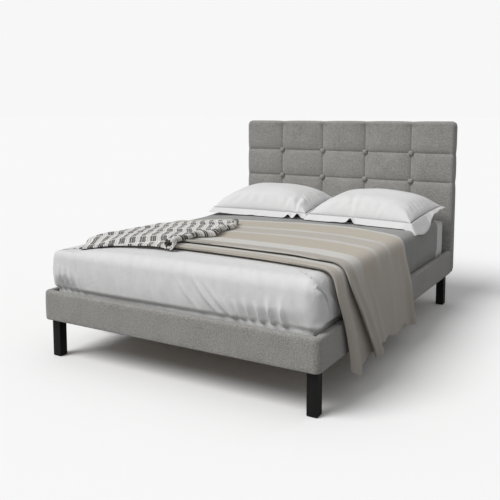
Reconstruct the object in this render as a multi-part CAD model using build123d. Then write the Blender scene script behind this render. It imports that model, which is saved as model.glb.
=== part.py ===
"""Full-size bed with a tufted upholstered headboard, a slatted base and its bedding.

Millimetres, +Z up, floor at Z 0. X runs across the bed, the foot end is at -Y and the
headboard at +Y. The origin is on the floor, below the middle of the whole bed.
"""
from build123d import *
import os

# ---- driving dimensions ---------------------------------------------------------------
BED_WIDTH = 1440.0          # over the upholstery
BED_LENGTH = 1995.0         # foot face to headboard back
RAIL_BOTTOM = 185.0
RAIL_TOP = 327.0
RAIL_THICKNESS = 30.0
HEADBOARD_TOP = 1115.0
HEADBOARD_THICKNESS = 60.0
CLOTH = 2.0                 # upholstery cloth with its backing
RAIL_PADDING = 6.0
RAIL_CORNER = 22.0          # vertical corners of the foot rail
RAIL_EDGE = 11.0            # long edges of the rails
GAP = 0.3                   # air between pieces that are only stacked

SEAM_X = (-453.0, -150.0, 150.0, 453.0)     # upright tufting seams
SEAM_Z = (744.0, 920.0)                     # level tufting seams
SEAM_DEPTH = 5.0
SEAM_RADIUS = 7.0
BUTTON_DIAMETER = 31.0
BUTTON_HEIGHT = 8.0
DIMPLE_RADIUS = 40.0
DIMPLE_DEPTH = 8.0
TIE_DIAMETER = 3.0

PLYWOOD = 9.0
STILE_WIDTH = 66.0
STILE_DEPTH = 25.0
BACK_CLOTH = 1.0

LEG_SIDE = 46.0
LEG_INSET_X = 20.0
LEG_INSET_FOOT = 33.0
LEG_INSET_HEAD = 20.0
GLIDE = 3.0
BLOCK_SIDE = 60.0
BRACKET_ARM = 90.0
BRACKET_SHEET = 3.0
BRACKET_HEIGHT = 50.0
BOLT_DIAMETER = 6.0
LEG_BOLT_DIAMETER = 8.0

CLEAT_SECTION = (20.0, 30.0)
BEAM_SECTION = (45.0, 30.0)
SLAT_SECTION = (70.0, 15.0)
SLAT_LENGTH = 1370.0
SLAT_COUNT = 13
STRAP_SECTION = (25.0, 1.0)
STRAP_X = 345.0
CENTRE_LEG_Y = (-330.0, 330.0)
CENTRE_LEG_DIAMETER = 38.0
LEVELLER_DIAMETER = 40.0
LEVELLER_HEIGHT = 8.0
LEVELLER_TRAVEL = 10.0

MATTRESS_WIDTH = 1350.0
MATTRESS_LENGTH = 1882.0
MATTRESS_HEIGHT = 244.0
MATTRESS_CORNER = 45.0
MATTRESS_HEAD_CLEAR = 6.0
TICKING = 4.0
BORDER_FOAM = 40.0
PAD_FOAM = 8.0
POCKET_DIAMETER = 100.0
POCKET_CLOTH = 1.2
POCKET_ROWS = (9, 13)
SHEET = 1.2

DUVET_TOP = 28.0
DUVET_SIDE = 10.0
DUVET_HEAD_Y = -55.0
COVERLET_TOP = 25.0
COVERLET_HEAD_Y = 745.0
COVERLET_HEM = 330.0
TUCK_DEPTH = 300.0          # height of the duvet's tucked edge

BLANKET_LAYER = 4.5
BLANKET_LOWER_Y = (-785.0, 140.0)
BLANKET_UPPER_Y = (-612.0, 145.0)
BLANKET_HEM = 112.0
BLANKET_FOLD_SWELL = 12.0   # extra depth of the hanging folds at the hem

THROW_THICKNESS = 12.0
THROW_OUTLINE = ((-640, -930), (-340, -948), (-155, -893), (-86, -852), (-135, -773),
                 (-158, -581), (-173, -429), (-120, -295), (-233, 25), (-347, 89),
                 (-613, 60), (-640, -173))
THROW_DROP = 120.0

PILLOW_HEIGHT = 128.0
PILLOW_FLANGE = 42.0
PILLOW_CLOTH = 1.5
PILLOW_FILL = 8.0           # packed fill behind the insert's cloth
PILLOWS = {"left": (-700.0, -6.0, 340.0, 900.0), "right": (6.0, 690.0, 315.0, 900.0)}

# ---- places worked out from them ------------------------------------------------------
HALF_WIDTH = BED_WIDTH / 2
FOOT_Y = -BED_LENGTH / 2
BACK_Y = BED_LENGTH / 2
HEAD_Y = BACK_Y - HEADBOARD_THICKNESS       # front face of the headboard
INNER_X = HALF_WIDTH - RAIL_THICKNESS       # inner faces of the side rails
INNER_FOOT_Y = FOOT_Y + RAIL_THICKNESS
BOARD_Z = (RAIL_BOTTOM + 3.0, RAIL_TOP - 11.0)      # the rails' boards, inside their padding
SLAT_BOTTOM = RAIL_BOTTOM + 66.0
SLAT_TOP = SLAT_BOTTOM + SLAT_SECTION[1]
MATTRESS_BOTTOM = SLAT_TOP + STRAP_SECTION[1] + GAP
MATTRESS_TOP = MATTRESS_BOTTOM + MATTRESS_HEIGHT
MATTRESS_HEAD_Y = HEAD_Y - MATTRESS_HEAD_CLEAR
MATTRESS_FOOT_Y = MATTRESS_HEAD_Y - MATTRESS_LENGTH
BED_TOP = MATTRESS_TOP + SHEET
LEG_X = HALF_WIDTH - LEG_INSET_X - LEG_SIDE / 2
LEG_Y = {"front": FOOT_Y + LEG_INSET_FOOT + LEG_SIDE / 2, "rear": HEAD_Y - LEG_INSET_HEAD - LEG_SIDE / 2}
SIDES = {"left": -1, "right": 1}

nodes = {}


# ---- helpers --------------------------------------------------------------------------
def block(x, y, z):
    """A box between two places on each axis."""
    size = (x[1] - x[0], y[1] - y[0], z[1] - z[0])
    centre = ((x[0] + x[1]) / 2, (y[0] + y[1]) / 2, (z[0] + z[1]) / 2)
    return Pos(*centre) * Box(*size)


def mirrored(a, b, side):
    """The span from a to b on the right of the bed, or its mirror image on the left."""
    return tuple(sorted((side * a, side * b)))


def rod(start, axis, length, diameter):
    """A round rod from a point along +X, +Y or +Z."""
    turn = {"x": Rot(0, 90, 0), "y": Rot(-90, 0, 0), "z": Rot(0, 0, 0)}[axis]
    upright = Cylinder(diameter / 2, length, align=(Align.CENTER, Align.CENTER, Align.MIN))
    return Pos(*start) * turn * upright


def span_rod(axis, start, end, across, z, diameter):
    """A round rod along +X or +Y between two places, given in either order."""
    low = min(start, end)
    at = (low, across, z) if axis == "x" else (across, low, z)
    return rod(at, axis, abs(end - start), diameter)


def group(shapes):
    """Separate solids that share one node."""
    return Compound([solid for shape in shapes for solid in shape.solids()])


def drill(names, holes):
    """Cut holes through some nodes."""
    for name in names:
        nodes[name] = group([nodes[name] - holes])


def upright_edges(shape):
    """The edges that run along Z."""
    return shape.edges().filter_by(Axis.Z)


# ---- headboard ------------------------------------------------------------------------
def headboard_form(grow):
    """The tufted slab; grow is negative for the padding under the cloth."""
    reach = HALF_WIDTH + grow
    front = HEAD_Y - grow
    slab = block((-reach, reach), (front, BACK_Y), (RAIL_BOTTOM - grow, HEADBOARD_TOP + grow))
    front_edges = slab.edges().filter_by(lambda e: abs(e.center().Y - front) < 0.01)
    slab = fillet(front_edges + upright_edges(slab).filter_by(lambda e: e.center().Y < front + 1),
                  16.0 + grow)
    radius = SEAM_RADIUS - grow
    sunk = HEAD_Y - SEAM_RADIUS + SEAM_DEPTH
    sunk_top = HEADBOARD_TOP + SEAM_RADIUS - SEAM_DEPTH
    cuts = [rod((x, sunk, RAIL_BOTTOM - 50), "z", HEADBOARD_TOP, 2 * radius) for x in SEAM_X]
    cuts += [rod((x, HEAD_Y - 50, sunk_top), "y", HEADBOARD_THICKNESS + 100, 2 * radius) for x in SEAM_X]
    cuts += [rod((-BED_WIDTH, sunk, z), "x", 2 * BED_WIDTH, 2 * radius) for z in SEAM_Z]
    dimple = Sphere(DIMPLE_RADIUS - grow)
    cuts += [Pos(x, HEAD_Y - DIMPLE_RADIUS + DIMPLE_DEPTH, z) * dimple for x in SEAM_X for z in SEAM_Z]
    return slab - cuts


def tie_rods(diameter, start_y, end_y):
    """Rods along Y behind every button."""
    return [rod((x, start_y, z), "y", end_y - start_y, diameter) for x in SEAM_X for z in SEAM_Z]


def make_headboard():
    """Timber frame, plywood, tufted padding, cloth, back cloth, buttons and their ties."""
    wood_back = BACK_Y - BACK_CLOTH
    panel_back = wood_back - STILE_DEPTH
    panel_front = panel_back - PLYWOOD
    reach = HALF_WIDTH - RAIL_PADDING
    bottom = RAIL_BOTTOM + CLOTH
    top = HEADBOARD_TOP - RAIL_PADDING - 2
    frame_y = (panel_back, wood_back)

    stiles = [block(mirrored(reach - STILE_WIDTH, reach, s), frame_y, (bottom, top)) for s in (-1, 1)]
    bar_heights = ((bottom, RAIL_BOTTOM + 67), (600, 650), (top - 50, top))
    bar_reach = reach - STILE_WIDTH
    bars = [block((-bar_reach, bar_reach), frame_y, span) for span in bar_heights]
    panel = block((-reach, reach), (panel_front, panel_back), (bottom, top))
    padding = headboard_form(-CLOTH)
    cloth_reach = HALF_WIDTH - CLOTH
    behind = block((-BED_WIDTH, BED_WIDTH), (wood_back, BACK_Y + 1), (0, 2 * HEADBOARD_TOP))
    foam = padding - [block((-reach, reach), (panel_front, BACK_Y + 1), (bottom, top)), behind]
    inner_back = block((-cloth_reach, cloth_reach), (panel_front, BACK_Y + 1), (bottom, HEADBOARD_TOP - CLOTH))
    cover = headboard_form(0) - [padding, inner_back]
    cloth_top = HEADBOARD_TOP - SEAM_DEPTH - CLOTH
    back_cloth = block((-cloth_reach, cloth_reach), (wood_back, BACK_Y), (bottom, cloth_top))

    disc_back = HEAD_Y + DIMPLE_DEPTH - 3.4
    dome = BUTTON_HEIGHT - 2.0
    dome_radius = ((BUTTON_DIAMETER / 2) ** 2 + dome ** 2) / (2 * dome)
    button = rod((0, disc_back - BUTTON_HEIGHT, 0), "y", BUTTON_HEIGHT, BUTTON_DIAMETER)
    button &= Pos(0, disc_back - BUTTON_HEIGHT + dome_radius, 0) * Sphere(dome_radius) + \
        rod((0, disc_back - 2.0, 0), "y", 2.0, BUTTON_DIAMETER)
    buttons = [Pos(x, 0, z) * button for x in SEAM_X for z in SEAM_Z]

    washer = 1.5
    ties = tie_rods(TIE_DIAMETER, disc_back, panel_back)
    knots = tie_rods(18.0, panel_back, panel_back + washer)
    holes = tie_rods(TIE_DIAMETER + 0.4, HEAD_Y, panel_back)
    foam -= holes
    cover -= holes
    panel -= holes
    nodes["headboard_stiles"] = group(stiles)
    nodes["headboard_crossbars"] = group(bars)
    nodes["headboard_panel"] = panel
    nodes["headboard_foam"] = foam
    nodes["headboard_cover"] = cover
    nodes["headboard_back_cloth"] = back_cloth
    nodes["tuft_buttons"] = group(buttons)
    nodes["tuft_ties"] = group([tie + knot for tie, knot in zip(ties, knots)])


# ---- rails ----------------------------------------------------------------------------
def rail_skins(outer, inner_faces, inset):
    """The rail's body shrunk by inset all round, except at the faces that stay open."""
    (x0, x1), (y0, y1), (z0, z1) = outer
    shrink = [inset if side not in inner_faces else 0 for side in ("-x", "+x", "-y", "+y", "-z", "+z")]
    return block((x0 + shrink[0], x1 - shrink[1]), (y0 + shrink[2], y1 - shrink[3]),
                 (z0 + shrink[4], z1 - shrink[5]))


def make_side_rail(name, side):
    """A board with padding on its outer face and top, in a sleeve of cloth."""
    x = mirrored(INNER_X, HALF_WIDTH, side)
    y = (INNER_FOOT_Y, HEAD_Y)
    z = (RAIL_BOTTOM, RAIL_TOP)
    open_ends = ("-y", "+y")

    def rounded(inset, radius):
        shape = rail_skins((x, y, z), open_ends, inset)
        inner_x = side * (INNER_X + inset)
        keep_sharp = RAIL_BOTTOM + inset + 0.01
        return fillet(shape.edges().filter_by(Axis.Y).filter_by(
            lambda e: e.center().Z > keep_sharp or abs(e.center().X - inner_x) > 1), radius)

    sleeve = rounded(0, RAIL_EDGE)
    core = rounded(CLOTH, RAIL_EDGE - CLOTH)
    board_x = mirrored(INNER_X + CLOTH, HALF_WIDTH - CLOTH - RAIL_PADDING, side)
    board = block(board_x, y, BOARD_Z)
    nodes[f"side_rail_cover_{name}"] = sleeve - core
    nodes[f"side_rail_foam_{name}"] = core - board
    nodes[f"side_rail_board_{name}"] = board


def make_foot_rail():
    """The foot rail, as wide as the bed, with rounded corners and the side rails behind it."""
    def rounded(inset, corner, edge):
        shape = block((-HALF_WIDTH + inset, HALF_WIDTH - inset), (FOOT_Y + inset, INNER_FOOT_Y - inset),
                      (RAIL_BOTTOM + inset, RAIL_TOP - inset))
        front = upright_edges(shape).filter_by(lambda e: e.center().Y < FOOT_Y + inset + 1)
        shape = fillet(front, corner)
        rims = shape.edges().filter_by(lambda e: e.center().Z > RAIL_TOP - inset - 0.01)
        floor_rim = shape.edges().filter_by(
            lambda e: e.center().Z < RAIL_BOTTOM + inset + 0.01 and e.center().Y < INNER_FOOT_Y - inset - 1)
        return fillet(rims + floor_rim, edge)

    sleeve = rounded(0, RAIL_CORNER, RAIL_EDGE - 1)
    core = rounded(CLOTH, RAIL_CORNER - CLOTH, RAIL_EDGE - 1 - CLOTH)
    board_y = (FOOT_Y + CLOTH + RAIL_PADDING, INNER_FOOT_Y - CLOTH)
    board = block((-INNER_X - 14, INNER_X + 14), board_y, BOARD_Z)
    nodes["foot_rail_cover"] = sleeve - core
    nodes["foot_rail_foam"] = core - board
    nodes["foot_rail_board"] = board


# ---- corner joints and legs -----------------------------------------------------------
def make_corners():
    """At each corner a timber block, a steel bracket, its bolts and a leg with its own bolt."""
    brackets, bolts, blocks, leg_bolts, nuts, glides = [], [], [], [], [], []
    z0 = RAIL_BOTTOM + 10
    bracket_z = (z0, z0 + BRACKET_HEIGHT)
    bolt_heights = (z0 + 12, z0 + BRACKET_HEIGHT - 12)
    bolt_reach = BRACKET_ARM - 12
    rail_face = INNER_X - BRACKET_SHEET
    end_lengths = {"front": 20.0, "rear": 40.0}
    clearance = BOLT_DIAMETER + 0.4
    holes = []
    for end, wall_y, inward in (("front", INNER_FOOT_Y, 1), ("rear", HEAD_Y, -1)):
        for name, side in SIDES.items():
            arm_y = tuple(sorted((wall_y, wall_y + inward * BRACKET_ARM)))
            sheet_y = tuple(sorted((wall_y, wall_y + inward * BRACKET_SHEET)))
            bracket = block(mirrored(INNER_X - BRACKET_SHEET, INNER_X, side), arm_y, bracket_z)
            bracket += block(mirrored(INNER_X - BRACKET_ARM, INNER_X, side), sheet_y, bracket_z)
            along_rail = wall_y + inward * bolt_reach
            along_end = side * (INNER_X - bolt_reach)
            end_face = wall_y + inward * BRACKET_SHEET
            for z in bolt_heights:
                for axis, face, across, way, length in (
                        ("x", side * rail_face, along_rail, side, 20.0),
                        ("y", end_face, along_end, -inward, end_lengths[end])):
                    bolts.append(span_rod(axis, face, face + way * length, across, z, BOLT_DIAMETER)
                                 + span_rod(axis, face - way * 4, face, across, z, 11.0))
                    holes.append(span_rod(axis, face - way, face + way * (length + 1), across, z, clearance))
            brackets.append(bracket)

            leg_x = side * LEG_X
            leg_y = LEG_Y[end]
            block_x = mirrored(INNER_X - BRACKET_SHEET - BLOCK_SIDE, INNER_X - BRACKET_SHEET, side)
            block_y = tuple(sorted((end_face, end_face + inward * (BLOCK_SIDE + 4))))
            corner = block(block_x, block_y, (RAIL_BOTTOM, SLAT_BOTTOM))
            bolt_x = side * (LEG_X - 8)
            half = LEG_SIDE / 2
            leg = block((leg_x - half, leg_x + half), (leg_y - half, leg_y + half), (GLIDE, RAIL_BOTTOM))
            leg = chamfer(upright_edges(leg), 1.5)
            stud = rod((bolt_x, leg_y, RAIL_BOTTOM - 30), "z", 85, LEG_BOLT_DIAMETER)
            clear = rod((bolt_x, leg_y, RAIL_BOTTOM - 30), "z", 130, LEG_BOLT_DIAMETER + 0.4)
            nut = rod((bolt_x, leg_y, SLAT_BOTTOM - 12), "z", 10, 11.0)
            nut += rod((bolt_x, leg_y, SLAT_BOTTOM - 3.5), "z", 1.5, 20.0)
            corner -= nut + rod((bolt_x, leg_y, SLAT_BOTTOM - 2), "z", 4, 20.0)
            glide = block((leg_x - 20, leg_x + 20), (leg_y - 20, leg_y + 20), (0, GLIDE))
            blocks.append(corner - clear)
            nuts.append(nut - clear)
            leg_bolts.append(stud)
            glides.append(fillet(upright_edges(glide), 6.0))
            nodes[f"leg_{end}_{name}"] = leg - clear
    nodes["corner_brackets"] = group([bracket - holes for bracket in brackets])
    nodes["corner_bolts"] = group(bolts)
    nodes["corner_blocks"] = group(blocks)
    nodes["leg_bolts"] = group(leg_bolts)
    nodes["leg_tee_nuts"] = group(nuts)
    nodes["leg_glides"] = group(glides)
    drill([f"side_rail_{part}_{name}" for part in ("board", "cover", "foam") for name in SIDES], holes)
    drill(["foot_rail_board", "foot_rail_cover"], holes)
    drill(["headboard_cover", "headboard_foam", "headboard_panel", "headboard_crossbars"], holes)


# ---- slatted base ---------------------------------------------------------------------
def make_base():
    """Cleats, centre beam on its hangers, centre legs with levellers, slats and straps."""
    cleat_z = (SLAT_BOTTOM - CLEAT_SECTION[1], SLAT_BOTTOM)
    cleat_y = (INNER_FOOT_Y + BRACKET_ARM + 6, HEAD_Y - BRACKET_ARM - 6)
    screw_count = 6
    screws = []
    for name, side in SIDES.items():
        cleat = block(mirrored(INNER_X - CLEAT_SECTION[0], INNER_X, side), cleat_y, cleat_z)
        holes = []
        for i in range(screw_count):
            y = cleat_y[0] + (i + 0.5) * (cleat_y[1] - cleat_y[0]) / screw_count
            start = min(side * (INNER_X - CLEAT_SECTION[0] + 1), side * (INNER_X + 14))
            screw = rod((start, y, SLAT_BOTTOM - 15), "x", CLEAT_SECTION[0] + 13, 4.0)
            screws.append(screw)
            holes.append(rod((start - 2, y, SLAT_BOTTOM - 15), "x", CLEAT_SECTION[0] + 17, 4.3))
        nodes[f"slat_cleat_{name}"] = cleat
        drill((f"slat_cleat_{name}", f"side_rail_board_{name}", f"side_rail_cover_{name}"), holes)
    nodes["cleat_screws"] = group(screws)

    half_beam = BEAM_SECTION[0] / 2
    beam_z = (SLAT_BOTTOM - BEAM_SECTION[1], SLAT_BOTTOM)
    beam_y = (INNER_FOOT_Y + BRACKET_SHEET, HEAD_Y - BRACKET_SHEET)
    beam = block((-half_beam, half_beam), beam_y, beam_z)
    hangers, hanger_screws, holes = [], [], []
    saddle = 2.0
    for wall_y, inward in ((INNER_FOOT_Y, 1), (HEAD_Y, -1)):
        plate_y = tuple(sorted((wall_y, wall_y + inward * BRACKET_SHEET)))
        seat_y = tuple(sorted((wall_y + inward * BRACKET_SHEET, wall_y + inward * 43)))
        hanger = block((-half_beam - 24, half_beam + 24), plate_y, (beam_z[0] - 20, SLAT_BOTTOM - 2))
        seat_x = (-half_beam - saddle, half_beam + saddle)
        hanger += block(seat_x, seat_y, (beam_z[0] - saddle, SLAT_BOTTOM - 8))
        hanger -= block((-half_beam, half_beam), seat_y, beam_z)
        plate_face = wall_y + inward * BRACKET_SHEET
        z = beam_z[0] + 12
        for x in (-half_beam - 13, half_beam + 13):
            hanger_screws.append(span_rod("y", plate_face, wall_y - inward * 14, x, z, 4.5)
                                 + span_rod("y", plate_face, plate_face + inward * 2, x, z, 9.0))
            holes.append(span_rod("y", plate_face + inward, wall_y - inward * 15, x, z, 4.8))
        hanger -= holes
        hangers.append(hanger)
    drill(("foot_rail_board", "foot_rail_cover", "headboard_cover", "headboard_foam"), holes)
    nodes["centre_beam"] = beam
    nodes["beam_hangers"] = group(hangers)
    nodes["beam_hanger_screws"] = group(hanger_screws)

    leg_screws = []
    bore_top = 78.0
    leg_bottom = LEVELLER_HEIGHT + LEVELLER_TRAVEL + 4
    for name, y in zip(("front", "rear"), CENTRE_LEG_Y):
        plate = block((-30, 30), (y - 30, y + 30), (beam_z[0] - 4, beam_z[0]))
        plate = fillet(upright_edges(plate), 5.0)
        leg = rod((0, y, leg_bottom), "z", beam_z[0] - 4 - leg_bottom, CENTRE_LEG_DIAMETER) + plate
        leg -= rod((0, y, leg_bottom), "z", bore_top - leg_bottom, 8.6)
        for dy in (-24, 24):
            screw = rod((0, y + dy, beam_z[0] - 4), "z", 22, 4.0) + rod((0, y + dy, beam_z[0] - 6), "z", 2, 8.0)
            hole = rod((0, y + dy, beam_z[0] - 4), "z", 23, 4.3)
            leg_screws.append(screw)
            leg -= hole
            nodes["centre_beam"] -= hole
        foot = rod((0, y, 0), "z", LEVELLER_HEIGHT, LEVELLER_DIAMETER)
        foot = chamfer(foot.edges().sort_by(Axis.Z)[-1], 2.5)
        nodes[f"centre_leg_{name}"] = leg
        nodes[f"leveller_{name}"] = foot + rod((0, y, LEVELLER_HEIGHT), "z", 58 - LEVELLER_HEIGHT, 8.0)
    nodes["centre_leg_screws"] = group(leg_screws)

    first_y = INNER_FOOT_Y + BRACKET_SHEET + SLAT_SECTION[0] / 2 + 4
    last_y = HEAD_Y - BRACKET_SHEET - SLAT_SECTION[0] / 2 - 4
    pitch = (last_y - first_y) / (SLAT_COUNT - 1)
    slats = []
    for i in range(SLAT_COUNT):
        y = first_y + i * pitch
        slat = block((-SLAT_LENGTH / 2, SLAT_LENGTH / 2), (y - SLAT_SECTION[0] / 2, y + SLAT_SECTION[0] / 2),
                     (SLAT_BOTTOM, SLAT_TOP))
        slats.append(fillet(slat.edges().filter_by(Axis.X), 3.0))
    nodes["slats"] = group(slats)
    straps = [block((x - STRAP_SECTION[0] / 2, x + STRAP_SECTION[0] / 2), (first_y - 20, last_y + 20),
                    (SLAT_TOP, SLAT_TOP + STRAP_SECTION[1])) for x in (-STRAP_X, STRAP_X)]
    nodes["slat_straps"] = group(straps)


# ---- mattress and bedding -------------------------------------------------------------
def mattress_form(grow, bottom):
    """The mattress with rounded corners, grown outwards by some cloth."""
    reach = MATTRESS_WIDTH / 2 + grow
    y = (MATTRESS_FOOT_Y - grow, MATTRESS_HEAD_Y + grow)
    shape = block((-reach, reach), y, (bottom, MATTRESS_TOP + grow))
    shape = fillet(upright_edges(shape), MATTRESS_CORNER + grow)
    return fillet(shape.edges().filter_by(lambda e: e.center().Z > MATTRESS_TOP + grow - 0.01), 18.0 + grow)


def make_mattress():
    """Foam border, pads, pocketed coils, quilted ticking and fitted sheet."""
    core_bottom = MATTRESS_BOTTOM + TICKING
    core_top = MATTRESS_TOP - TICKING
    core = mattress_form(-TICKING, core_bottom)
    nodes["mattress_ticking"] = mattress_form(0, MATTRESS_BOTTOM) - core

    coil_x = MATTRESS_WIDTH / 2 - TICKING - BORDER_FOAM
    coil_y = (MATTRESS_FOOT_Y + TICKING + BORDER_FOAM, MATTRESS_HEAD_Y - TICKING - BORDER_FOAM)
    coil_z = (core_bottom + PAD_FOAM, core_top - PAD_FOAM)
    tall = (core_bottom - 1, core_top + 1)
    everywhere = block((-BED_WIDTH, BED_WIDTH), (-BED_LENGTH, BED_LENGTH), coil_z)
    middle = core & everywhere
    nodes["mattress_pads"] = group([core - everywhere])
    nodes["mattress_border_foam"] = middle - block((-coil_x, coil_x), coil_y, tall)
    columns, rows = POCKET_ROWS
    pitch_x = 2 * coil_x / columns
    pitch_y = (coil_y[1] - coil_y[0]) / rows
    height = coil_z[1] - coil_z[0]
    pockets = []
    for i in range(columns):
        for j in range(rows):
            at = (-coil_x + (i + 0.5) * pitch_x, coil_y[0] + (j + 0.5) * pitch_y, coil_z[0])
            inner = POCKET_DIAMETER - 2 * POCKET_CLOTH
            pockets.append(rod(at, "z", height, POCKET_DIAMETER) - rod(at, "z", height, inner))
    nodes["mattress_pocket_coils"] = group(pockets)
    sheet = mattress_form(SHEET, MATTRESS_BOTTOM + 20) - mattress_form(0, MATTRESS_BOTTOM)
    nodes["fitted_sheet"] = sheet


def make_covers():
    """Duvet over the foot half and coverlet over the head half, both tucked inside the rails."""
    inner = MATTRESS_WIDTH / 2 + SHEET
    reach = inner + DUVET_SIDE
    inner_foot = MATTRESS_FOOT_Y - SHEET
    top = BED_TOP + DUVET_TOP
    duvet = block((-reach, reach), (inner_foot - DUVET_SIDE - 3, DUVET_HEAD_Y), (TUCK_DEPTH, top))
    corners = upright_edges(duvet).filter_by(lambda e: e.center().Y < inner_foot)
    duvet = fillet(corners, MATTRESS_CORNER + DUVET_SIDE)
    rim = duvet.edges().filter_by(lambda e: e.center().Z > top - 0.01 and e.center().Y < DUVET_HEAD_Y - 1)
    duvet = fillet(rim, 20.0)
    hollow = block((-inner, inner), (inner_foot, DUVET_HEAD_Y + 1), (TUCK_DEPTH - 1, BED_TOP + 0.1))
    foot_corners = upright_edges(hollow).filter_by(lambda e: e.center().Y < inner_foot + 1)
    hollow = fillet(foot_corners, MATTRESS_CORNER - 4)
    nodes["duvet"] = duvet - hollow

    coverlet_top = BED_TOP + COVERLET_TOP
    coverlet = block((-reach, reach), (DUVET_HEAD_Y + 5, COVERLET_HEAD_Y), (COVERLET_HEM, coverlet_top))
    shoulders = coverlet.edges().filter_by(Axis.Y).filter_by(lambda e: e.center().Z > coverlet_top - 0.01)
    coverlet = fillet(shoulders, 20.0)
    nodes["coverlet"] = coverlet - block((-inner, inner), (DUVET_HEAD_Y, COVERLET_HEAD_Y + 1),
                                         (0, BED_TOP + 0.1))


def saddle(offset, hem, y, swell):
    """A cloth layer over the bed and down both sides, as a band that thickens to its hem."""
    inner_x = MATTRESS_WIDTH / 2 + SHEET + DUVET_SIDE
    top = BED_TOP + DUVET_TOP + 0.8
    path = [(inner_x - 4, top), (inner_x + 5, top - 10), (HALF_WIDTH + 4, RAIL_TOP + 5), (HALF_WIDTH + 4, hem)]
    growth = (0.0, 0.0, 0.0, swell)

    def outline(extra, share):
        rise = (extra, 0.4 * extra, 0.0, 0.0)
        reach = (0.4 * extra, extra, extra, extra)
        return [(x + dx + g * share, z + dz) for (x, z), dx, dz, g in zip(path, reach, rise, growth)]

    low = outline(offset, 0)
    high = outline(offset + BLANKET_LAYER, 1)
    right_side = low + high[::-1]
    top_band = Polyline([(-low[0][0], low[0][1]), (low[0][0], low[0][1]), (high[0][0], high[0][1]),
                         (-high[0][0], high[0][1])], close=True)
    pieces = []
    for flip in (-1, 1):
        points = [(flip * x, z) for x, z in right_side]
        pieces.append(make_face(Polyline(points, close=True)))
    pieces.append(make_face(top_band))
    section = Plane.XZ * (pieces[0] + pieces[1] + pieces[2])
    band = extrude(section, amount=y[1] - y[0], dir=(0, 1, 0))
    return Pos(0, y[0], 0) * band


def make_blanket_and_throw():
    """The folded blanket across the bed and the knitted throw on it."""
    nodes["blanket_lower_fold"] = saddle(0.0, BLANKET_HEM + 20, BLANKET_LOWER_Y, 0.0)
    nodes["blanket_upper_fold"] = saddle(BLANKET_LAYER + GAP, BLANKET_HEM, BLANKET_UPPER_Y, BLANKET_FOLD_SWELL)

    bottom = BED_TOP + DUVET_TOP + 2 * BLANKET_LAYER + GAP + 2.0
    outline = make_face(Polyline([tuple(p) for p in THROW_OUTLINE], close=True))
    throw = Pos(0, 0, bottom) * extrude(outline, amount=THROW_THICKNESS)
    edge_x = min(x for x, y in THROW_OUTLINE)
    shoulder_x = -(MATTRESS_WIDTH / 2 + 13)
    y = (-905.0, 45.0)
    drop = [(edge_x, bottom), (shoulder_x, bottom), (shoulder_x - 15, bottom - 15),
            (-HALF_WIDTH - 2, bottom - THROW_DROP), (-HALF_WIDTH - 14, bottom - THROW_DROP),
            (shoulder_x - 26, bottom - 8), (shoulder_x - 8, bottom + THROW_THICKNESS),
            (edge_x, bottom + THROW_THICKNESS)]
    fall = extrude(Plane.XZ * make_face(Polyline(drop, close=True)), amount=y[1] - y[0], dir=(0, 1, 0))
    nodes["throw"] = throw + Pos(0, y[0], 0) * fall


def cushion(x, y, z, levels):
    """A crowned cushion as a ruled loft; levels are pairs of height share and inset."""
    sections = []
    for share, inset in levels:
        width = x[1] - x[0] - 2 * inset
        depth = y[1] - y[0] - 2 * inset
        face = RectangleRounded(width, depth, 45.0)
        sections.append(Pos((x[0] + x[1]) / 2, (y[0] + y[1]) / 2, z[0] + share * (z[1] - z[0])) * face)
    return loft(sections, ruled=True)


def nested_cushion(x, y, z0, inset, levels):
    """The pillow's form shrunk by inset all round."""
    return cushion((x[0] + inset, x[1] - inset), (y[0] + inset, y[1] - inset),
                   (z0 + inset, z0 + PILLOW_HEIGHT - inset), levels)


def make_pillows():
    """Two filled pillows, each in a case with a flat flange round it."""
    levels = ((0.0, 95.0), (0.22, 18.0), (0.36, 0.0), (0.5, 14.0), (0.8, 60.0), (1.0, 150.0))
    z0 = BED_TOP + COVERLET_TOP + 3.0
    for name, (x0, x1, y0, y1) in PILLOWS.items():
        x = (x0 + PILLOW_FLANGE, x1 - PILLOW_FLANGE)
        y = (y0 + PILLOW_FLANGE, y1 - PILLOW_FLANGE)
        case = cushion(x, y, (z0, z0 + PILLOW_HEIGHT), levels)
        hollow = nested_cushion(x, y, z0, PILLOW_CLOTH, levels)
        insert = nested_cushion(x, y, z0, 2 * PILLOW_CLOTH, levels)
        insert -= nested_cushion(x, y, z0, 2 * PILLOW_CLOTH + PILLOW_FILL, levels)
        flange_z = z0 + levels[2][0] * PILLOW_HEIGHT
        flange = Pos((x0 + x1) / 2, (y0 + y1) / 2, flange_z - 1.5) * extrude(
            RectangleRounded(x1 - x0, y1 - y0, 30.0), amount=3.0)
        nodes[f"pillowcase_{name}"] = case + flange - hollow
        nodes[f"pillow_insert_{name}"] = insert


make_headboard()
for rail_name, rail_side in SIDES.items():
    make_side_rail(rail_name, rail_side)
make_foot_rail()
make_corners()
make_base()
make_mattress()
make_covers()
make_blanket_and_throw()
make_pillows()

os.makedirs("parts", exist_ok=True)
for node_name, shape in nodes.items():
    export_step(shape, f"parts/{node_name}.step")
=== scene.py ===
"""Looks of an upholstered bed with its bedding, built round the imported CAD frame."""
import logging
import math
from dataclasses import dataclass, field
from enum import Enum
from functools import lru_cache
from typing import Callable, Optional, Sequence

import bmesh
import bpy
import numpy as np
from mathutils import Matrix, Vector, noise


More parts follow.
